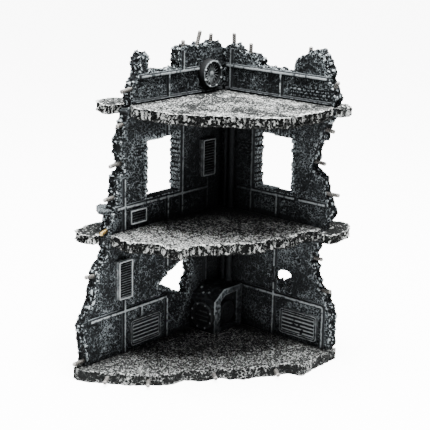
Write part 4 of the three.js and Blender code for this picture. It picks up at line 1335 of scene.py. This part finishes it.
# %% A tube along the line of a node
def line_of(node):
    """Start, end and radius of a round bar from its own points: the first singular vector is
    its axis, and the furthest points along it are its ends."""
    points = node_points(node)
    centre = 0.5 * (points.min(axis=0) + points.max(axis=0))
    axis = np.linalg.svd(points - points.mean(axis=0), full_matrices=False)[2][0]
    along = (points - centre) @ axis
    radius = np.linalg.norm(points - centre - along[:, None] * axis, axis=1).max()
    return centre + along.min() * axis, centre + along.max() * axis, radius


def tube(start, end, radius, rings, around, swelling, bend=0.0, seed=0):
    """A closed tube: circles carried from start to end, their radius following swelling(t)
    and their centres leaving the line by bend sin(pi t)."""
    way = (end - start) / np.linalg.norm(end - start)
    side = np.cross(way, [0.3, 0.5, 0.8])
    side /= np.linalg.norm(side)
    up = np.cross(way, side)
    t = np.linspace(0, 1, rings)
    size, shade = swelling(t, np.linalg.norm(end - start))
    angle = np.arange(around) * 2 * math.pi / around
    lean = 2 * math.pi * scatter(seed, 1)
    aside = math.cos(lean) * side + math.sin(lean) * up
    centre = start + t[:, None] * (end - start)
    centre = centre + (bend * np.sin(math.pi * t))[:, None] * aside
    circle = np.cos(angle)[:, None] * side + np.sin(angle)[:, None] * up
    points = centre[:, None, :] + radius * size[:, None, None] * circle
    ring, turn = np.meshgrid(np.arange(rings - 1) * around, np.arange(around), indexing="ij")
    beside = (turn + 1) % around
    faces = np.stack([ring + turn, ring + beside, ring + around + beside, ring + around + turn], axis=2)
    faces = faces.reshape(-1, 4).tolist()
    faces += [list(range(around))[::-1], list(range((rings - 1) * around, rings * around))]
    return points.reshape(-1, 3), faces, np.repeat(shade, around)


BAR_RIB_PITCH = 1.3


def ribbed(t, length):
    """Reinforcing bar: low ribs at an even pitch, and a tip rounded over its last half
    millimetre."""
    place = t * length
    rib = 0.5 + 0.5 * np.cos(2 * math.pi * place / BAR_RIB_PITCH)
    tip = np.sqrt(np.clip((length - place) / 0.5, 0.25, 1))
    return (1.0 + 0.08 * rib) * tip, np.clip(0.2 + 0.4 * rib + 0.3 * (length - place < 1.2), 0, 1)


def collared(t, length):
    """A pipe with a collar at each end."""
    collar = (np.minimum(t, 1 - t) * length < 1.6).astype(float)
    return 0.94 + 0.28 * collar, 0.45 + 0.3 * collar


# %% Every rod and pipe
RODS = sorted(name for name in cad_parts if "_rod_" in name)
PIPES = sorted(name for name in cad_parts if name.startswith("pipe_"))
ROOM = CORNER[:2] + (15, -15)
for number, node in enumerate(RODS):
    start, end, radius = line_of(node)
    outward = np.linalg.norm(end[:2] - ROOM) > np.linalg.norm(start[:2] - ROOM)
    if node.startswith(("left_top_rod", "right_top_rod")):
        outward = end[2] > start[2] or abs(end[2] - start[2]) < 2 and outward
    if not outward:
        start, end = end, start
    metal = "brass" if node.startswith("brass") else "steel"
    points, faces, relief = tube(start, end, radius, 40, 12, ribbed, 0.25, number)
    put(f"{node}_bar", points, faces, relief, 0.3, brush_and_shade=1.0, finish=FINISH[metal], stands_for=[node])

for node in PIPES:
    start, end, radius = line_of(node)
    points, faces, relief = tube(start, end, radius, 60, 20, collared)
    put(f"{node}_tube", points, faces, relief, 0.1, finish=FINISH["framing"], stands_for=[node])

# %% [markdown]
# ## The stage, the light and the camera
# The ruin stands on white paper under a broad soft lamp, with two weak lamps in front so that
# the shadows keep some shape. The paper glows only for the camera: it looks white, but its glow
# does not light the dark resin. The camera has a long lens, a little above the floors,
# and leans by about one degree.

# %% A pale floor and soft light
floor_mesh = bpy.data.meshes.new("pale_floor")
floor_mesh.from_pydata([(-4, -4, 0), (4, -4, 0), (4, 4, 0), (-4, 4, 0)], [], [(0, 1, 2, 3)])
pale = bpy.data.materials.new("pale_paper")
pale.use_nodes = True
paper = pale.node_tree.nodes["Principled BSDF"].inputs
paper["Base Color"].default_value = (0.9, 0.9, 0.9, 1)
paper["Roughness"].default_value = 0.9
paper["Emission Color"].default_value = (1, 1, 1, 1)
seen = wire(pale.node_tree, "ShaderNodeLightPath").outputs["Is Camera Ray"]
glow = wire(pale.node_tree, "ShaderNodeMath", {0: seen, 1: 9.0}, operation="MULTIPLY")
pale.node_tree.links.new(glow.outputs[0], paper["Emission Strength"])
floor_mesh.materials.append(pale)
floor = bpy.data.objects.new("pale_floor", floor_mesh)
bpy.context.scene.collection.objects.link(floor)

world = bpy.data.worlds.new("soft_room")
bpy.context.scene.world = world
world.use_nodes = True
sky = world.node_tree.nodes["Background"].inputs
sky["Color"].default_value = (1.0, 1.0, 1.0, 1)
sky["Strength"].default_value = 0.19


def softbox(name, spot, aim, size, watts):
    """A square area light at a spot, turned to face its aim."""
    lamp = bpy.data.lights.new(name, "AREA")
    lamp.shape = "SQUARE"
    lamp.size = size
    lamp.energy = watts
    holder = bpy.data.objects.new(name, lamp)
    facing = (Vector(aim) - Vector(spot)).to_track_quat("-Z", "Y").to_matrix().to_4x4()
    holder.matrix_world = Matrix.Translation(spot) @ facing
    bpy.context.scene.collection.objects.link(holder)


MIDDLE = (0, 0, 0.1)
softbox("overhead", (0.06, -0.06, 0.95), MIDDLE, 0.5, 54)
softbox("front_left", (-0.3, -0.9, 0.5), MIDDLE, 0.5, 4)
softbox("front_right", (0.9, -0.3, 0.4), MIDDLE, 0.5, 1.8)

# %% The camera
CAMERA_AT = Vector((0.45905, -0.53409, 0.28819))
CAMERA_BACK = Vector((0.6234, -0.7356, 0.2649)).normalized()
CAMERA_ROLL = math.radians(1.21)
LENS_MM = 101.63
SENSOR_MM = 36
ahead = -CAMERA_BACK
right = ahead.cross(Vector((0, 0, 1))).normalized()
up = right.cross(ahead)
rolled_right = right * math.cos(CAMERA_ROLL) + up * math.sin(CAMERA_ROLL)
rolled_up = up * math.cos(CAMERA_ROLL) - right * math.sin(CAMERA_ROLL)
lens = bpy.data.cameras.new("lens")
lens.lens = LENS_MM
lens.sensor_width = SENSOR_MM
print("camera at", tuple(CAMERA_AT), "with a lens of", LENS_MM, "mm")
camera = bpy.data.objects.new("camera", lens)
turn = Matrix((rolled_right, rolled_up, CAMERA_BACK)).transposed().to_4x4()
camera.matrix_world = Matrix.Translation(CAMERA_AT) @ turn
bpy.context.scene.collection.objects.link(camera)
bpy.context.scene.camera = camera
